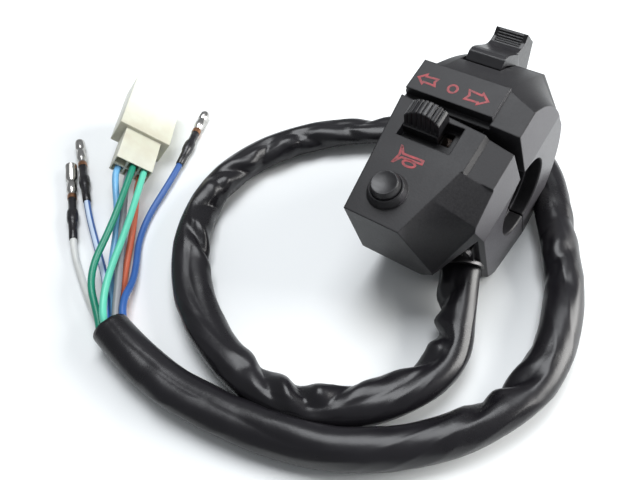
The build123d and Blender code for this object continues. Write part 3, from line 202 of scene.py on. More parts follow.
class SwitchSettings(bpy.types.PropertyGroup):
    """Sizes and colours of the switch's finishes."""
    case_colour: FloatVectorProperty(name="Case", description="Moulded case plastic",
                                     subtype="COLOR", default=(0.014, 0.0135, 0.015), min=0, max=1)
    # painted shade: colour of the darker speckle laid in the dents of the moulded grain
    shadow_colour: FloatVectorProperty(
        name="Case, coarse", description="Speckle of the moulded grain",
        subtype="COLOR", default=(0.009, 0.0085, 0.010), min=0, max=1)
    control_colour: FloatVectorProperty(
        name="Controls", description="Knob, lever and button plastic",
        subtype="COLOR", default=(0.011, 0.0105, 0.012), min=0, max=1)
    paint_colour: FloatVectorProperty(name="Symbols", description="Paint in the symbol grooves",
                                      subtype="COLOR", default=(0.25, 0.012, 0.018), min=0, max=1)
    sleeve_colour: FloatVectorProperty(name="Sleeve", description="Harness sleeve", subtype="COLOR",
                                       default=(0.0065, 0.006, 0.0075), min=0, max=1)
    connector_colour: FloatVectorProperty(
        name="Connector", description="Milky connector nylon",
        subtype="COLOR", default=(0.64, 0.655, 0.575), min=0, max=1)
    table_colour: FloatVectorProperty(name="Table", description="Tabletop", subtype="COLOR",
                                      default=(0.86, 0.88, 0.88), min=0, max=1)
    grain: FloatProperty(name="Grain", description="Pitch of the moulded grain", unit="LENGTH",
                         default=0.00060, min=0.0001, max=0.002)
    edge: FloatProperty(name="Edge", description="Rounding of the moulded edges", unit="LENGTH",
                        default=0.0006, min=0.0001, max=0.001)
    groove: FloatProperty(name="Symbol line", description="Width of a symbol's painted line",
                          unit="LENGTH", default=0.00075, min=0.0002, max=0.002)
    wire_radius: FloatProperty(name="Wire radius", description="Outside radius of a wire",
                               unit="LENGTH", default=0.0012, min=0.0005, max=0.003)
    sleeve_radius: FloatProperty(name="Sleeve radius", description="Outside radius of the sleeve",
                                 unit="LENGTH", default=0.0057, min=0.002, max=0.01)
    sleeve_sides: IntProperty(name="Sleeve sides", description="Points round the sleeve",
                              default=72, min=24, max=128)


def settings():
    return bpy.context.scene.switch_settings


# shader maths

class Field:
    """A number or colour on a surface, worked with plain operators."""

    def __init__(self, paint, socket):
        self.paint, self.socket = paint, socket

    def _maths(self, operation, a, b=None):
        values = {0: a} if b is None else {0: a, 1: b}
        return self.paint.node("ShaderNodeMath", {"operation": operation}, values)

    def __add__(self, other):
        return self._maths("ADD", self, other)

    def __radd__(self, other):
        return self._maths("ADD", other, self)

    def __sub__(self, other):
        return self._maths("SUBTRACT", self, other)

    def __rsub__(self, other):
        return self._maths("SUBTRACT", other, self)

    def __mul__(self, other):
        return self._maths("MULTIPLY", self, other)

    def __truediv__(self, other):
        return self._maths("DIVIDE", self, other)

    def clamp(self):
        return self.paint.node("ShaderNodeClamp", {}, {"Value": self})


class Paint:
    """Node tree of one finish."""

    def __init__(self, name):
        self.material = bpy.data.materials.new(name)
        self.material.use_nodes = True
        self.tree = self.material.node_tree
        self.tree.nodes.clear()

    def node(self, kind, setup=None, sockets=None, output=0):
        made = self.tree.nodes.new(kind)
        for key, value in (setup or {}).items():
            if key == "stops":
                ramp = made.color_ramp
                while len(ramp.elements) < len(value):
                    ramp.elements.new(0.5)
                for element, (place, shade) in zip(ramp.elements, value):
                    element.position = place
                    grey = isinstance(shade, float)
                    element.color = (shade, shade, shade, 1) if grey else (*shade, 1)
            else:
                setattr(made, key, value)
        for key, value in (sockets or {}).items():
            if isinstance(value, Field):
                self.tree.links.new(value.socket, made.inputs[key])
            else:
                made.inputs[key].default_value = value
        return Field(self, made.outputs[output])

    def noise(self, pitch, detail=2.0, roughness=0.5, place=None):
        """Noise with a pitch in metres, in object coordinates unless it is given a place."""
        where = place or self.node("ShaderNodeTexCoord", output="Object")
        return self.node("ShaderNodeTexNoise", {}, {"Vector": where, "Scale": 1.0 / pitch,
                                                   "Detail": detail, "Roughness": roughness})

    def mix(self, share, a, b):
        """Colour between two colours."""
        made = self.tree.nodes.new("ShaderNodeMix")
        made.data_type = "RGBA"
        for index, value in ((0, share), (6, a), (7, b)):
            if isinstance(value, Field):
                self.tree.links.new(value.socket, made.inputs[index])
            elif index == 0:
                made.inputs[index].default_value = value
            else:
                made.inputs[index].default_value = (*value[:3], 1)
        return Field(self, made.outputs[2])

    def ramp(self, value, stops):
        return self.node("ShaderNodeValToRGB", {"stops": stops}, {"Fac": value})

    def bump(self, height, distance, strength=1.0, normal=None):
        sockets = {"Height": height, "Distance": distance, "Strength": strength}
        if normal is not None:
            sockets["Normal"] = normal
        return self.node("ShaderNodeBump", {}, sockets)

    def edges(self, width):
        """Normal with rounded edges, and how far it turns from the flat one."""
        soft = self.node("ShaderNodeBevel", {"samples": 6}, {"Radius": width})
        flat = self.node("ShaderNodeNewGeometry", output="Normal")
        same = self.node("ShaderNodeVectorMath", {"operation": "DOT_PRODUCT"},
                         {0: soft, 1: flat}, "Value")
        return soft, (1.0 - same).clamp()

    def surface(self, **sockets):
        shader = self.tree.nodes.new("ShaderNodeBsdfPrincipled")
        for key, value in sockets.items():
            socket = shader.inputs[key.replace("_", " ")]
            if isinstance(value, Field):
                self.tree.links.new(value.socket, socket)
            elif socket.type == "RGBA":
                socket.default_value = (*value[:3], 1)
            else:
                socket.default_value = value
        out = self.tree.nodes.new("ShaderNodeOutputMaterial")
        self.tree.links.new(shader.outputs[0], out.inputs["Surface"])
        return self.material


def lighter(colour, factor):
    return tuple(min(1.0, c * factor) for c in colour[:3])


# finishes

def moulded_plastic(name, colour, dent_shade, roughness, grain, depth, wear=0.35):
    """Fine stippled plastic with paler, smoother edges, and a painted reflection of the tabletop on
    the end faces.
    """
    p = Paint(name)
    soft, edge = p.edges(settings().edge)
    fine = p.noise(grain, 3.0, 0.6)
    broad = p.noise(0.009, 2.0, 0.5)
    # painted shade: the grain's dents, low in the same noise that drives the bump, are painted
    # darker
    dent_shade_mask = p.ramp(fine, [(0.34, 0.0), (0.62, 1.0)])
    base = p.mix(dent_shade_mask, dent_shade, colour)
    base = p.mix((broad - 0.35) * 0.8, base, lighter(colour, 1.22))
    base = p.mix((edge * 3.0).clamp() * wear, base, lighter(colour, 2.2))
    # painted reflection: faces turned towards +x, the end faces, are painted much paler, mottled,
    # and a little less rough
    facing = p.node("ShaderNodeVectorMath", {"operation": "DOT_PRODUCT"},
                    {0: p.node("ShaderNodeTexCoord", output="Normal"), 1: (1.0, 0.0, 0.0)}, "Value")
    painted_reflection = p.ramp(facing, [(0.86, 0.0), (0.97, 1.0)])
    base = p.mix(painted_reflection * (0.55 + broad * 0.5), base, lighter(colour, 4.6))
    rough = roughness + (fine - 0.5) * 0.18 + (broad - 0.5) * 0.10 - painted_reflection * 0.12
    normal = p.bump(fine, depth, 0.55, soft)
    return p.surface(Base_Color=base, Roughness=rough, Normal=normal, Specular_IOR_Level=0.30)


def glossy_plastic(name, colour, roughness):
    """Smoother black plastic of a handled control, with faint scuffs."""
    p = Paint(name)
    soft, edge = p.edges(settings().edge)
    scuff = p.noise(0.0012, 5.0, 0.7, p.node("ShaderNodeMapping", {}, {
        "Vector": p.node("ShaderNodeTexCoord", output="Object"), "Scale": (0.35, 1.0, 1.0)}))
    broad = p.noise(0.004, 2.0)
    base = p.mix((broad - 0.3).clamp(), colour, lighter(colour, 1.5))
    base = p.mix((edge * 2.5).clamp() * 0.4, base, lighter(colour, 2.4))
    rough = roughness + (scuff - 0.5) * 0.30
    return p.surface(Base_Color=base, Roughness=rough, Normal=p.bump(scuff, 0.00002, 0.5, soft),
                     Specular_IOR_Level=0.42)


def metal(name, colour, roughness, brushed=0.0, tarnish=None):
    """Plated or bare metal with fine handling marks."""
    p = Paint(name)
    here = p.node("ShaderNodeTexCoord", output="Object")
    stretched = p.node("ShaderNodeMapping", {},
                       {"Vector": here, "Scale": (1.0, 1.0 - brushed, 1.0)})
    marks = p.noise(0.0006, 4.0, 0.7, stretched)
    clouds = p.noise(0.003, 3.0)
    base = p.mix((clouds - 0.35).clamp(), colour, tarnish or lighter(colour, 0.72))
    rough = roughness + (marks - 0.5) * 0.25 + (clouds - 0.5) * 0.12
    return p.surface(Base_Color=base, Metallic=1.0, Roughness=rough,
                     Normal=p.bump(marks, 0.000015, 0.4))


def laminate(name):
    """Brown resin board with faint fibres."""
    p = Paint(name)
    fibres = p.noise(0.0005, 5.0, 0.75)
    base = p.mix(p.ramp(fibres, [(0.3, 0.0), (0.7, 1.0)]),
                 (0.070, 0.030, 0.012), (0.120, 0.055, 0.022))
    return p.surface(Base_Color=base, Roughness=0.42 + (fibres - 0.5) * 0.3,
                     Normal=p.bump(fibres, 0.00003, 0.5))


def rubber(name, colour):
    p = Paint(name)
    fine = p.noise(0.0004, 4.0, 0.7)
    broad = p.noise(0.004, 2.0)
    base = p.mix(broad, colour, lighter(colour, 1.6))
    return p.surface(Base_Color=base, Roughness=0.62 + (fine - 0.5) * 0.2,
                     Normal=p.bump(fine, 0.00004, 0.6))


def sleeve_vinyl():
    """Thin glossy black vinyl with fine wrinkles and dull patches."""
    p = Paint("sleeve_vinyl")
    colour = settings().sleeve_colour
    fine = p.noise(0.0011, 4.0, 0.6)
    wrinkle = p.noise(0.0045, 3.0, 0.55)
    broad = p.noise(0.016, 3.0, 0.5)
    base = p.mix(p.ramp(broad, [(0.30, 0.0), (0.72, 1.0)]), colour, lighter(colour, 1.5))
    rough = 0.29 + (broad - 0.5) * 0.18 + (fine - 0.5) * 0.08
    normal = p.bump(fine, 0.00003, 0.30, p.bump(wrinkle, 0.0002, 0.30))
    return p.surface(Base_Color=base, Roughness=rough, Normal=normal, Specular_IOR_Level=0.40)


def wire_vinyl(name, colour, stripe=None):
    """Wire insulation, with a stripe where it has one."""
    p = Paint(name)
    fine = p.noise(0.0012, 3.0, 0.6)
    broad = p.noise(0.008, 2.0)
    base = p.mix((broad - 0.3).clamp(), colour, lighter(colour, 0.72))
    if stripe:
        across = p.node("ShaderNodeAttribute", {"attribute_name": "around"}, output="Fac")
        line = p.ramp(across, [(0.26, 0.0), (0.29, 1.0), (0.66, 1.0), (0.69, 0.0)])
        base = p.mix(line, base, stripe)
    return p.surface(Base_Color=base, Roughness=0.34 + (fine - 0.5) * 0.16,
                     Normal=p.bump(fine, 0.00003, 0.4))


def milky_nylon(name, colour, roughness=0.38, through=0.35):
    """Slightly see-through nylon that glows from within."""
    p = Paint(name)
    soft, _ = p.edges(settings().edge)
    broad = p.noise(0.006, 3.0)
    fine = p.noise(0.0008, 3.0)
    base = p.mix((broad - 0.35).clamp() * 0.8, colour, lighter(colour, 0.86))
    return p.surface(Base_Color=base, Roughness=roughness + (fine - 0.5) * 0.16,
                     Subsurface_Weight=through, Subsurface_Radius=(0.006, 0.006, 0.005),
                     Subsurface_Scale=0.5, Normal=p.bump(fine, 0.00003, 0.4, soft))


def connector_nylon():
    """Milky nylon that lets the terminals and the thicker cell block show through."""
    p = Paint("connector_nylon")
    colour = settings().connector_colour
    soft, edge = p.edges(settings().edge)
    here = p.node("ShaderNodeTexCoord", output="Object")
    ux, uy = CONNECTOR_WAY
    start = (ux * CONNECTOR_FAR[0] + uy * CONNECTOR_FAR[1]) * MM
    along = p.node("ShaderNodeVectorMath", {"operation": "DOT_PRODUCT"},
                   {0: here, 1: (ux, uy, 0.0)}, "Value") - start
    run = (along + (p.noise(0.007, 2.0) - 0.5) * 0.004) / ((CONNECTOR_LONG + CONNECTOR_NECK) * MM)
    deep = p.ramp(run, [(0.0, 0.0), (0.30, 0.12), (0.56, 0.75), (0.66, 1.0), (0.80, 0.72),
                        (1.0, 0.55)])
    base = p.mix(deep, colour, (0.50, 0.50, 0.40))
    inside = p.ramp(p.noise(0.0045, 2.0, 0.5), [(0.40, 0.0), (0.66, 1.0)])
    base = p.mix(inside * deep * 0.30, base, (0.40, 0.33, 0.25))
    base = p.mix((edge * 3.0).clamp() * 0.5, base, lighter(colour, 1.1))
    fine = p.noise(0.0009, 3.0)
    return p.surface(Base_Color=base, Roughness=0.34 + (fine - 0.5) * 0.16,
                     Subsurface_Weight=0.25, Subsurface_Radius=(0.004, 0.004, 0.003),
                     Subsurface_Scale=0.5, Normal=p.bump(fine, 0.00003, 0.4, soft))


def heat_shrink():
    """Thin black tube shrunk over the crimp, glossy with fine ripples."""
    p = Paint("heat_shrink")
    ripple = p.noise(0.0018, 3.0, 0.55)
    broad = p.noise(0.006, 2.0)
    base = p.mix(broad, (0.006, 0.006, 0.007), (0.016, 0.015, 0.018))
    return p.surface(Base_Color=base, Roughness=0.24 + (broad - 0.5) * 0.2,
                     Normal=p.bump(ripple, 0.0003, 0.5), Specular_IOR_Level=0.45)


def symbol_paint():
    """Red paint laid in a groove, worn thin in places, with a painted highlight in paler random
    patches.
    """
    p = Paint("symbol_paint")
    colour = settings().paint_colour
    worn = p.noise(0.0009, 4.0, 0.7)
    scuffed = lighter(settings().case_colour, 2.6)
    base = p.mix(p.ramp(worn, [(0.42, 0.0), (0.68, 1.0)]), colour, scuffed)
    # painted highlight: paler red in random patches
    painted_highlight_patches = p.ramp(p.noise(0.0022, 2.0), [(0.35, 0.0), (0.75, 1.0)])
    base = p.mix(painted_highlight_patches, base, lighter(colour, 1.5))
    return p.surface(Base_Color=base, Roughness=0.48 + (worn - 0.5) * 0.3,
                     Normal=p.bump(worn, 0.00008, 0.6))


def tabletop():
    p = Paint("tabletop")
    colour = settings().table_colour
    broad = p.noise(0.25, 2.0)
    tint = p.mix((broad - 0.3).clamp(), colour, lighter(colour, 0.96))
    shader = p.tree.nodes.new("ShaderNodeBsdfPrincipled")
    p.tree.links.new(tint.socket, shader.inputs["Base Color"])
    shader.inputs["Roughness"].default_value = 0.55
    out = p.tree.nodes.new("ShaderNodeOutputMaterial")
    p.tree.links.new(shader.outputs[0], out.inputs["Surface"])
    return p.material


FINISHES = {}


def make_finishes():
    s = settings()
    blue = (0.030, 0.110, 0.360)
    FINISHES.update({
        "case": moulded_plastic("case_plastic", s.case_colour, s.shadow_colour, 0.46, s.grain,
                                0.00005),
        "control": glossy_plastic("control_plastic", s.control_colour, 0.33),
        "nylon": milky_nylon("inner_nylon", (0.030, 0.026, 0.023), 0.45, 0.1),
        "connector": connector_nylon(),
        "board": laminate("board_laminate"),
        "brass": metal("contact_brass", (0.72, 0.50, 0.20), 0.30, 0.5),
        "band": metal("crimp_band", (0.34, 0.17, 0.09), 0.38, 0.4, (0.20, 0.10, 0.06)),
        "tin": metal("tinned_brass", (0.60, 0.59, 0.57), 0.22, 0.3, (0.30, 0.28, 0.24)),
        "zinc": metal("zinc_steel", (0.60, 0.61, 0.62), 0.34, 0.4),
        "strap": metal("clamp_steel", (0.085, 0.083, 0.085), 0.42, 0.6),
        "grommet": rubber("grommet_rubber", (0.010, 0.0095, 0.010)),
        "insulator": heat_shrink(),
        "sleeve": sleeve_vinyl(),
        "paint": symbol_paint(),
        "white": wire_vinyl("wire_white", (0.66, 0.67, 0.65)),
        "blue_white": wire_vinyl("wire_blue_white", blue, (0.56, 0.67, 0.82)),
        "light_blue": wire_vinyl("wire_light_blue", (0.150, 0.400, 0.660)),
        "grey": wire_vinyl("wire_grey", (0.24, 0.25, 0.27)),
        "orange": wire_vinyl("wire_orange", (0.610, 0.140, 0.070)),
        "blue": wire_vinyl("wire_blue", blue),
        "dark_green": wire_vinyl("wire_dark_green", (0.006, 0.230, 0.140)),
        "mint": wire_vinyl("wire_mint", (0.110, 0.560, 0.400)),
    })


NODE_FINISHES = {
    "case": ["lower_case", "upper_case"],
    "control": ["turn_knob", "beam_lever", "horn_button"],
    "nylon": ["turn_slider"],
    "board": ["turn_contact_board", "beam_contact_board"],
    "brass": ["turn_wiper", "turn_contact_rivets", "horn_contact_ring", "horn_contact_plate",
              "beam_wiper", "beam_contact_rivets"],
    "zinc": ["clamp_screws", "turn_board_screws", "turn_detent_ball", "turn_detent_spring",
             "horn_return_spring", "beam_pivot_pin", "beam_detent_ball", "beam_detent_spring",
             "beam_board_screws"],
    "strap": ["cable_clamp", "cable_clamp_screw"],
    "grommet": ["cable_grommet"],
}


# modelling helpers

# edges sharper than the first are bevelled; faces within the others are shaded as one
SHARP_ANGLE, FLAT_ANGLE, TURNED_ANGLE = math.radians(28), math.radians(35), math.radians(38)


def clear_selection():
    if bpy.context.object and bpy.context.object.mode != "OBJECT":
        bpy.ops.object.mode_set(mode="OBJECT")
    for o in bpy.context.selected_objects:
        o.select_set(False)


def settle(obj, place=None):
    """Put an object's place into its mesh."""
    obj.data.transform((place or Matrix.Identity(4)) @ obj.matrix_world)
    obj.matrix_world = Matrix.Identity(4)
    return obj


def dress(obj, finish_name):
    obj.data.materials.clear()
    obj.data.materials.append(FINISHES[finish_name])
    return obj


def edit_all():
    bpy.ops.object.mode_set(mode="EDIT")
    bpy.ops.mesh.select_all(action="SELECT")


def pick_faces(obj, test):
    """Select in edit mode the faces whose centre and normal pass a test."""
    mesh = bmesh.from_edit_mesh(obj.data)
    for item in (*mesh.verts, *mesh.edges, *mesh.faces):
        item.select_set(False)
    for face in mesh.faces:
        if test(face.calc_center_median(), face.normal):
            face.select_set(True)
    bmesh.update_edit_mesh(obj.data)


def joined(objects, name):
    """One object of several."""
    clear_selection()
    for obj in objects:
        obj.select_set(True)
    bpy.context.view_layer.objects.active = objects[0]
    bpy.ops.object.join()
    obj = bpy.context.object
    obj.name = obj.data.name = name
    return obj


def extrude(x, y, z):
    """Extrude the selected faces by a distance in m."""
    bpy.ops.mesh.extrude_region_move(TRANSFORM_OT_translate={"value": (x, y, z)})


def bevelled(obj, width, segments=2):
    """Round an object's sharp edges with an applied bevel."""
    bpy.ops.object.mode_set(mode="OBJECT")
    made = obj.modifiers.new("soft_edges", "BEVEL")
    made.width, made.segments, made.limit_method = width, segments, "ANGLE"
    made.angle_limit = SHARP_ANGLE
    bpy.ops.object.modifier_apply(modifier=made.name)
    bpy.ops.object.shade_smooth_by_angle(angle=FLAT_ANGLE)
    return obj


def turned(name, profile, sides=28):
    """Round piece along z from (radius, height) pairs in mm, by extruding a disc."""
    clear_selection()
    radius, height = profile[0]
    bpy.ops.mesh.primitive_circle_add(vertices=sides, radius=radius * MM, fill_type="NGON",
                                      location=(0, 0, height * MM))
    obj = bpy.context.object
    obj.name = obj.data.name = name
    settle(obj)
    edit_all()
    for reach, level in profile[1:]:
        extrude(0, 0, (level - height) * MM)
        bpy.ops.transform.resize(value=(reach / radius, reach / radius, 1))
        radius, height = reach, level
    bpy.ops.mesh.select_all(action="SELECT")
    bpy.ops.mesh.normals_make_consistent(inside=False)
    bpy.ops.object.mode_set(mode="OBJECT")
    bpy.ops.object.shade_smooth_by_angle(angle=TURNED_ANGLE)
    return obj


def lay_along(obj, base, way):
    """Turn a piece made along z to a level direction from a base point in mm."""
    turn = Vector((way[0], way[1], 0)).to_track_quat("Z", "Y").to_matrix().to_4x4()
    return settle(obj, Matrix.Translation(Vector(base) * MM) @ turn)


def painted_line(name, outlines, width, plane):
    """Closed outlines on the case as thin painted lines; plane(x, y) gives the height."""
    made = []
    for outline in outlines:
        clear_selection()
        bpy.ops.mesh.primitive_circle_add(vertices=len(outline), radius=MM, fill_type="NGON")
        obj = bpy.context.object
        for vertex, (x, y) in zip(obj.data.vertices, outline):
            vertex.co = (x * MM, y * MM, 0)
        edit_all()
        bpy.ops.mesh.inset(thickness=width)
        bpy.ops.mesh.delete(type="FACE")
        bpy.ops.mesh.select_all(action="SELECT")
        extrude(0, 0, PAINT_THICK * MM)
        bpy.ops.mesh.select_all(action="SELECT")
        bpy.ops.mesh.normals_make_consistent(inside=False)
        bpy.ops.object.mode_set(mode="OBJECT")
        made.append(obj)
    obj = joined(made, name)
    for vertex in obj.data.vertices:
        lift = plane(vertex.co.x / MM, vertex.co.y / MM) - PAINT_SUNK
        vertex.co.z += lift * MM
    bevelled(obj, PAINT_EDGE * MM, 1)
    settle(obj, CASE_TO_TABLE)
    dress(obj, "paint")
    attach(obj, "case")
    return obj


def spline_object(name, points):
    """Smooth open spline on control points given in mm."""
    data = bpy.data.curves.new(name, "CURVE")
    data.dimensions = "3D"
    spline = data.splines.new("NURBS")
    spline.points.add(len(points) - 1)
    for point, (x, y, z) in zip(spline.points, points):
        point.co = (x * MM, y * MM, z * MM, 1)
    spline.order_u = 3
    spline.use_endpoint_u = True
    spline.resolution_u = 24
    return bpy.data.objects.new(name, data)


def read_line(obj):
    """Points along a curve that has no bevel; the curve is used up."""
    bpy.context.scene.collection.objects.link(obj)
    bpy.context.view_layer.update()
    mesh = bpy.data.meshes.new_from_object(obj.evaluated_get(bpy.context.evaluated_depsgraph_get()))
    points = [v.co.copy() for v in mesh.vertices]
    bpy.data.meshes.remove(mesh)
    bpy.data.objects.remove(obj)
    return points


def even_line(points, step):
    """The same line with points an even step apart."""
    lengths = [0.0]
    for a, b in zip(points, points[1:]):
        lengths.append(lengths[-1] + (b - a).length)
    count = max(2, round(lengths[-1] / step))
    out, i = [], 0
    for k in range(count + 1):
        want = lengths[-1] * k / count
        while i < len(points) - 2 and lengths[i + 1] < want:
            i += 1
        share = (want - lengths[i]) / max(lengths[i + 1] - lengths[i], 1e-12)
        out.append(points[i].lerp(points[i + 1], share))
    return out, lengths[-1]


def cross_frames(points):
    """Direction, level side and up at each point of a line."""
    out = []
    for i, point in enumerate(points):
        way = (points[min(i + 1, len(points) - 1)] - points[max(i - 1, 0)]).normalized()
        side = way.cross(Vector((0, 0, 1)))
        side = side.normalized() if side.length > 1e-4 else Vector((1, 0, 0))
        out.append((way, side, side.cross(way)))
    return out


def tube(name, line, sides, offset, mouth=0.0):
    """Tube round a line; offset(i, angle) gives the side and up reach at a point.
    A mouth above zero opens its far end: the wall turns in by that share and runs back."""
    mesh = bmesh.new()
    around = mesh.verts.layers.float.new("around")
    frames = cross_frames(line)

    def loop(i, share=1.0):
        way, side, up = frames[i]
        made = []
        for k in range(sides):
            a, b = offset(i, 2 * math.pi * k / sides)
            vertex = mesh.verts.new(line[i] + side * a * share + up * b * share)
            vertex[around] = abs(2.0 * k / sides - 1.0)
            made.append(vertex)
        return made

    last = len(line) - 1
    rings = [loop(i) for i in range(len(line))]
    if mouth:
        for back, share in ((0, 1.0 - mouth), (3, 1.0 - mouth), (9, 0.9 - mouth)):
            rings.append(loop(last - back, share))
    for low, high in zip(rings, rings[1:]):
        for k in range(sides):
            j = (k + 1) % sides
            mesh.faces.new((low[k], high[k], high[j], low[j]))
    mesh.faces.new(rings[0])
    mesh.faces.new(list(reversed(rings[-1])))
    bmesh.ops.recalc_face_normals(mesh, faces=mesh.faces)
    data = bpy.data.meshes.new(name)
    mesh.to_mesh(data)
    mesh.free()
    for polygon in data.polygons:
        polygon.use_smooth = len(polygon.vertices) == 4
    obj = bpy.data.objects.new(name, data)
    bpy.context.scene.collection.objects.link(obj)
    return obj


# pieces

class SWITCH_OT_stage(bpy.types.Operator):
    """Lay the white tabletop, its soft window light and the camera"""
    bl_idname = "switch.stage"
    bl_label = "Stage and camera"

    def execute(self, context):
        clear_selection()
        bpy.ops.mesh.primitive_plane_add(size=6.0, location=(0, 0, 0))
        floor = context.object
        floor.name = "tabletop"
        floor.data.materials.append(tabletop())
        world = bpy.data.worlds.new("room")
        world.use_nodes = True
        back = world.node_tree.nodes["Background"]
        back.inputs["Color"].default_value = ROOM_COLOUR
        back.inputs["Strength"].default_value = ROOM_STRENGTH
        context.scene.world = world
        for name, place, size, power, tint in LAMPS:
            data = bpy.data.lights.new(name, "AREA")
            data.shape, data.size, data.energy, data.color = "SQUARE", size, power, tint
            lamp = bpy.data.objects.new(name, data)
            lamp.location = place
            lamp.rotation_mode = "QUATERNION"
            lamp.rotation_quaternion = (-Vector(place)).to_track_quat("-Z", "Y")
            context.scene.collection.objects.link(lamp)
        data = bpy.data.cameras.new("camera")
        data.sensor_width, data.lens = SENSOR_WIDTH, LENS
        data.clip_start, data.clip_end = 0.01, 10.0
        camera = bpy.data.objects.new("camera", data)
        ahead = CAMERA_RIGHT.cross(CAMERA_DOWN)
        turn = Matrix((CAMERA_RIGHT, -CAMERA_DOWN, -ahead)).transposed().to_4x4()
        camera.matrix_world = Matrix.Translation(CAMERA_PLACE) @ turn
        context.scene.collection.objects.link(camera)
        context.scene.camera = camera
        context.scene.view_settings.view_transform = "Standard"
        return {"FINISHED"}


class SWITCH_OT_finishes(bpy.types.Operator):
    """Mix the finishes and give each CAD node its own"""
    bl_idname = "switch.finishes"
    bl_label = "Finishes"

    def execute(self, context):
        make_finishes()
        for name, nodes in NODE_FINISHES.items():
            for node in nodes:
                dress(frame["nodes"][node], name)
        return {"FINISHED"}


def sleeve_folds(length, turns):
    """Creases along the sleeve: place, angle, depth, width and slant of each."""
    chance = random.Random(CREASE_SEED)
    folds = []

    def inside(share):
        return math.pi if turns[int(share * (len(turns) - 1))] > 0 else 0.0

    for share, depth, width, slant in SLEEVE_CREASES:
        inner = inside(share)
        tilt = CREASE_TILT if inner == 0.0 else -CREASE_TILT
        folds.append((length * share, inner + tilt, depth * CREASE_DEPTH,
                      width * CREASE_WIDTH, slant))
    for k in range(SMALL_CREASES):
        share = (k + chance.random()) / SMALL_CREASES
        calm = SHALLOW if SMOOTH_FROM < share < SMOOTH_TO or share > SMOOTH_END else 1.0
        if chance.random() < INSIDE_SHARE:
            angle = inside(share) + chance.uniform(*NEAR_INSIDE)
        else:
            angle = chance.uniform(*ANYWHERE)
        folds.append((length * share, angle, calm * chance.uniform(*SMALL_DEPTH),
                      chance.uniform(*SMALL_WIDTH), chance.uniform(*SMALL_SLANT)))
    return folds


def fold_depth(folds, s, angle):
    """How far the creases near a point draw it in, and the swell beside them."""
    total = 0.0
    for place, centre, depth, width, slant in folds:
        away = (angle - centre + math.pi) % (2 * math.pi) - math.pi
        reach = math.cos(min(abs(away) / CREASE_HALF_ANGLE, 1.0) * math.pi / 2)
        step = abs(s - place + slant * away) / width
        if reach > 0 and step < 3:
            total -= depth * reach * max(0.0, 1.0 - step) ** CREASE_FALL
            total += SWELL * depth * reach * math.exp(-((step - SWELL_PLACE) / SWELL_WIDTH) ** 2)
    return total


class SWITCH_OT_sleeve(bpy.types.Operator):
    """Lay the creased harness sleeve, flattened where it folds"""
    bl_idname = "switch.sleeve"
    bl_label = "Harness sleeve"

    def execute(self, context):
        radius, sides = settings().sleeve_radius, settings().sleeve_sides
        route = read_line(spline_object("sleeve_line", SLEEVE_ROUTE))
        line, length = even_line(route, SLEEVE_STEP)
        last = len(line) - 1
        # bend at each ring, in radians a metre, above zero where the line turns left
        turns = [0.0] * len(line)
        span = BEND_RINGS * SLEEVE_STEP
        for i in range(BEND_RINGS, last - BEND_RINGS):
            before, after = line[i] - line[i - BEND_RINGS], line[i + BEND_RINGS] - line[i]
            left = 1 if before.cross(after).z > 0 else -1
            turns[i] = before.angle(after, 0.0) / span * left
        folds = sleeve_folds(length, turns)
        near = [[f for f in folds if abs(f[0] - length * i / last) < CREASE_NEAR]
                for i in range(last + 1)]

        def offset(i, angle):
            s = length * i / last
            bend = min(1.0, abs(turns[i]) / FULL_BEND)
            mouth = max(0.0, 1.0 - (length - s) / SLEEVE_MOUTH)
            flat = FLAT_MEAN + FLAT_WANDER * noise.noise(Vector((s * 30.0, 1.7, 0.3)))
            flat = min(FLAT_MOST, max(FLAT_LEAST, flat + FLAT_BEND * bend))
            flat = flat * (1 - mouth) + FLAT_MOUTH * mouth
            lean = LEAN * noise.noise(Vector((s * 20.0, 9.1, 4.0))) * (1 - mouth)
            c, d = math.cos(angle), math.sin(angle)
            wide, high = 1.0 + flat * WIDEN, 1.0 - flat
            keel = 1.0 - flat * HOLLOW * (1.0 - abs(c)) ** 2 * abs(d)
            a = wide * c * math.cos(lean) - high * keel * d * math.sin(lean)
            b = wide * c * math.sin(lean) + high * keel * d * math.cos(lean)
            fade = min(1.0, s / SLEEVE_SMOOTH) * (1.0 - MOUTH_CALM * mouth)
            ridge = 1.0 - abs(noise.noise(Vector((s * 55.0 + c * 0.9, c * 1.1, d * 1.1))))
            ripple = RIPPLE * (ridge ** 4 - RIPPLE_MEAN)
            swell = 1.0 + fade * (ripple + fold_depth(near[i], s, angle))
            reach = radius * swell
            return a * reach, max(b * reach, SLEEVE_FLOOR)

        sleeve = tube("harness_sleeve_skin", line, sides, offset, mouth=SLEEVE_WALL)
        dress(sleeve, "sleeve")
        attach(sleeve, "case")
        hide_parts("harness_sleeve")
        return {"FINISHED"}


def connector_place():
    """From the connector's own frame (along, side, height) to the table."""
    ux, uy = CONNECTOR_WAY
    turn = Matrix.Rotation(math.atan2(uy, ux), 4, "Z") @ Matrix.Rotation(-CONNECTOR_ROLL, 4, "X")
    hair = 0.02
    lift = CONNECTOR_W / 2 * math.sin(CONNECTOR_ROLL) + hair
    return Matrix.Translation(Vector((*CONNECTOR_FAR, lift)) * MM) @ turn


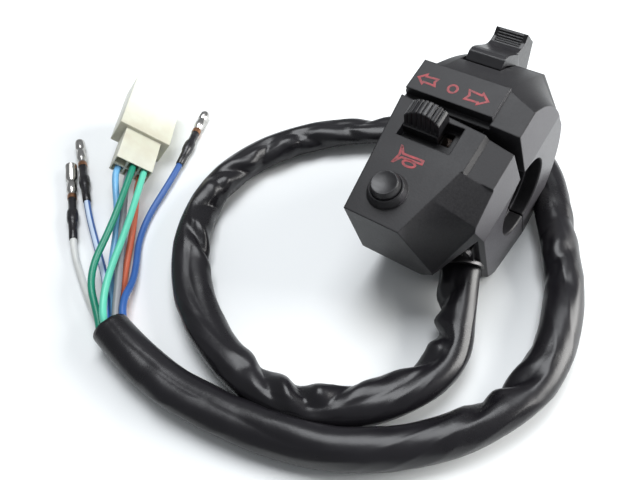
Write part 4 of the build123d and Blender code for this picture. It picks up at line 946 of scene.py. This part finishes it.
class SWITCH_OT_connector(bpy.types.Operator):
    """Model the nylon connector: shroud, stepped neck with wire cells, and its tabs"""
    bl_idname = "switch.connector"
    bl_label = "Connector"

    def execute(self, context):
        clear_selection()
        long, neck = CONNECTOR_LONG * MM, CONNECTOR_NECK * MM
        w, h = CONNECTOR_W * MM, CONNECTOR_H * MM
        bpy.ops.mesh.primitive_cube_add(size=1.0, location=(long / 2, 0, h / 2),
                                        scale=(long, w, h))
        housing = context.object
        housing.name = housing.data.name = "connector_housing_skin"
        settle(housing)
        bpy.ops.object.mode_set(mode="EDIT")
        # the shroud, hollow from its open end
        pick_faces(housing, lambda c, n: n.x < -0.9)
        bpy.ops.mesh.inset(thickness=CONNECTOR_WALL * MM)
        extrude(CONNECTOR_OPEN * MM, 0, 0)
        # the neck, stepped in
        pick_faces(housing, lambda c, n: n.x > 0.9)
        bpy.ops.mesh.inset(thickness=CONNECTOR_STEP * MM)
        narrow = CONNECTOR_NECK_W / (CONNECTOR_W - 2 * CONNECTOR_STEP)
        bpy.ops.transform.resize(value=(1, narrow, 1))
        extrude(neck, 0, 0)
        # its end, cut into three columns and two rows of cells
        column = CONNECTOR_NECK_W / 6 * MM
        for side in (-column, column):
            pick_faces(housing, lambda c, n: c.x > long + NEAR)
            bpy.ops.mesh.bisect(plane_co=(0, side, 0), plane_no=(0, 1, 0))
        pick_faces(housing, lambda c, n: c.x > long + neck - NEAR)
        bpy.ops.mesh.bisect(plane_co=(0, 0, h / 2), plane_no=(0, 0, 1))
        pick_faces(housing, lambda c, n: n.x > 0.9 and c.x > long + neck - NEAR)
        bpy.ops.mesh.inset(thickness=CELL_WALL * MM, use_individual=True)
        extrude(-CELL_DEPTH * MM, 0, 0)
        bevelled(housing, HOUSING_EDGE)
        settle(housing, connector_place())
        dress(housing, "connector")
        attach(housing, "case")
        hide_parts("connector_housing")
        blades = []
        for column, row in CONNECTOR_CELLS:
            clear_selection()
            place = (TAB_MIDDLE * MM, column * CELL_PITCH * MM, row * MM)
            bpy.ops.mesh.primitive_cube_add(size=1.0, location=place,
                                            scale=[side * MM for side in TAB_SIZE])
            blade = context.object
            settle(blade)
            bpy.ops.object.mode_set(mode="EDIT")
            pick_faces(blade, lambda c, n: n.x < -0.9)
            extrude(-TAB_TIP * MM, 0, 0)
            bpy.ops.transform.resize(value=(1, 0.6, 0.4))
            bevelled(blade, TAB_EDGE, 1)
            blades.append(blade)
        tabs = settle(joined(blades, "connector_tabs"), connector_place())
        dress(tabs, "tin")
        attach(tabs, "case")
        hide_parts("connector_terminals")
        return {"FINISHED"}


def insulator_profile(length):
    """Shrunk tube: narrow at the wire, swollen over the crimp, narrow again."""
    shares = [(1.26, 0.0), (1.50, 0.02), (1.56, 0.20), (1.62, 0.36), (2.00, 0.43), (2.12, 0.50),
              (2.10, 0.60), (1.98, 0.66), (1.52, 0.72), (1.50, 0.90), (1.62, 0.97), (1.50, 1.0)]
    return [(radius, share * length) for radius, share in shares]


def crimp_profile(start):
    """Crimp band that shows between the insulator and the terminal."""
    return [(1.2, start - 1.0), (1.74, start - 0.6), (1.74, start + 1.3), (1.66, start + 1.5),
            (1.2, start + 1.5)]


def bullet_profile(start, end):
    """Male bullet: neck, collar, groove and rounded nose."""
    reach = end - start
    return [(1.60, start), (1.62, start + reach * 0.14), (1.95, start + reach * 0.20),
            (2.0, start + reach * 0.26), (2.0, start + reach * 0.50), (1.74, start + reach * 0.53),
            (1.72, start + reach * 0.58), (1.98, start + reach * 0.62), (1.98, end - 1.9),
            (1.80, end - 1.0), (1.35, end - 0.4), (0.70, end - 0.08), (0.20, end)]


def socket_profile(start, end):
    """Female socket: waist, barrel, rolled rim and a bore from its open end."""
    reach = end - start
    return [(1.50, start), (1.50, start + reach * 0.12), (1.95, start + reach * 0.18),
            (1.95, start + reach * 0.40), (1.55, start + reach * 0.44),
            (1.55, start + reach * 0.50), (2.20, start + reach * 0.55), (2.20, end - 0.5),
            (2.28, end - 0.3), (2.28, end - 0.05), (2.12, end), (1.80, end - 0.05),
            (1.75, end - 8.0)]


def terminal_node(name):
    """CAD node of the metal terminal on a loose wire."""
    return "bullet_female_white" if name == "white" else "bullet_male_" + name


class SWITCH_OT_terminals(bpy.types.Operator):
    """Turn the loose wires' insulators, crimp bands, bullets and socket"""
    bl_idname = "switch.terminals"
    bl_label = "Loose terminals"

    def execute(self, context):
        for name, (_, way, covered, whole) in LOOSE_ENDS.items():
            base = WIRE_ROUTES[name][-1]
            metal_node = terminal_node(name)
            shape = socket_profile if name == "white" else bullet_profile
            for piece, profile, coat, node, slot in (
                ("insulator_" + name + "_skin", insulator_profile(covered), "insulator",
                 "insulator_" + name, "insulator_black"),
                ("crimp_band_" + name, crimp_profile(covered), "band", None, "tinned_brass"),
                (metal_node + "_skin", shape(covered + CRIMP_SHOWN, whole), "tin", metal_node,
                 "tinned_brass"),
            ):
                obj = lay_along(turned(piece, profile), base, way)
                dress(obj, coat)
                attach(obj, "case")
                if node:
                    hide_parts(node)
        return {"FINISHED"}


class SWITCH_OT_wires(bpy.types.Operator):
    """Lay the eight wires from inside the sleeve to their terminals"""
    bl_idname = "switch.wires"
    bl_label = "Wires"

    def execute(self, context):
        radius = settings().wire_radius
        ux, uy = CONNECTOR_WAY
        pieces = bpy.data.objects
        for name, route in WIRE_ROUTES.items():
            x, y, z = route[0]
            points = [(x + LEAD_INTO_SLEEVE[0], y + LEAD_INTO_SLEEVE[1], z), *route]
            if name in LOOSE_ENDS:
                carried = [pieces["insulator_" + name + "_skin"], pieces["crimp_band_" + name],
                           pieces[terminal_node(name) + "_skin"]]
            else:
                x, y, z = route[-1]
                points.append((x - ux * LEAD_INTO_CONNECTOR, y - uy * LEAD_INTO_CONNECTOR, z))
                carried = [pieces["connector_housing_skin"], pieces["connector_tabs"]]
            line, length = even_line(read_line(spline_object(name + "_line", points)), WIRE_STEP)

            def offset(i, angle):
                c, d = math.cos(angle), math.sin(angle)
                bead = 1.0 + WIRE_WAVER * noise.noise(Vector((i * 0.06, c, d)))
                return radius * bead * c, radius * bead * d

            wire = tube("wire_" + name + "_skin", line, WIRE_SIDES, offset)
            dress(wire, name)
            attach(wire, "case")
            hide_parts("wire_" + name)
        return {"FINISHED"}


def ring_outline(x, y, across, high, steps=20):
    """Points of an ellipse from its middle and half sizes."""
    angles = [2 * math.pi * k / steps for k in range(steps)]
    return [(x + across * math.cos(a), y + high * math.sin(a)) for a in angles]


def arrow_panel(x, y):
    """Height of the arrow panel at a point, in mm."""
    fall = ARROW_PANEL_FALL * (y - ARROW_PANEL_FRONT) / ARROW_PANEL_DEPTH
    return PANEL_Z + ARROW_PANEL_STEP - fall


def lower_panel(x, y):
    return PANEL_Z


class SWITCH_OT_symbols(bpy.types.Operator):
    """Lay the red outlines of the arrows, the ring and the horn in the panels"""
    bl_idname = "switch.symbols"
    bl_label = "Painted symbols"

    def execute(self, context):
        width = settings().groove
        painted_line("turn_symbols", [ARROW_LEFT, ring_outline(*RING), ARROW_RIGHT], width,
                     arrow_panel)
        painted_line("horn_symbol", [BELL, ring_outline(*HORN_LOOP)], width, lower_panel)
        return {"FINISHED"}


PIECE_OPERATORS = [
    SWITCH_OT_stage, SWITCH_OT_finishes, SWITCH_OT_connector, SWITCH_OT_terminals,
    SWITCH_OT_sleeve, SWITCH_OT_wires, SWITCH_OT_symbols,
]


class SWITCH_PT_panel(bpy.types.Panel):
    """Pieces of the switch in the order they are made"""
    bl_idname = "SWITCH_PT_panel"
    bl_label = "Handlebar switch"
    bl_space_type = "VIEW_3D"
    bl_region_type = "UI"
    bl_category = "Switch"

    def draw(self, context):
        for made in PIECE_OPERATORS:
            self.layout.operator(made.bl_idname)
        for name in SwitchSettings.__annotations__:
            self.layout.prop(settings(), name)


CLASSES = [SwitchSettings, *PIECE_OPERATORS, SWITCH_PT_panel]


def register():
    for made in CLASSES:
        bpy.utils.register_class(made)
    bpy.types.Scene.switch_settings = PointerProperty(type=SwitchSettings)


def unregister():
    del bpy.types.Scene.switch_settings
    for made in reversed(CLASSES):
        bpy.utils.unregister_class(made)


def main():
    register()
    for made in PIECE_OPERATORS:
        group, name = made.bl_idname.split(".")
        getattr(getattr(bpy.ops, group), name)()


if __name__ == "__main__":
    main()
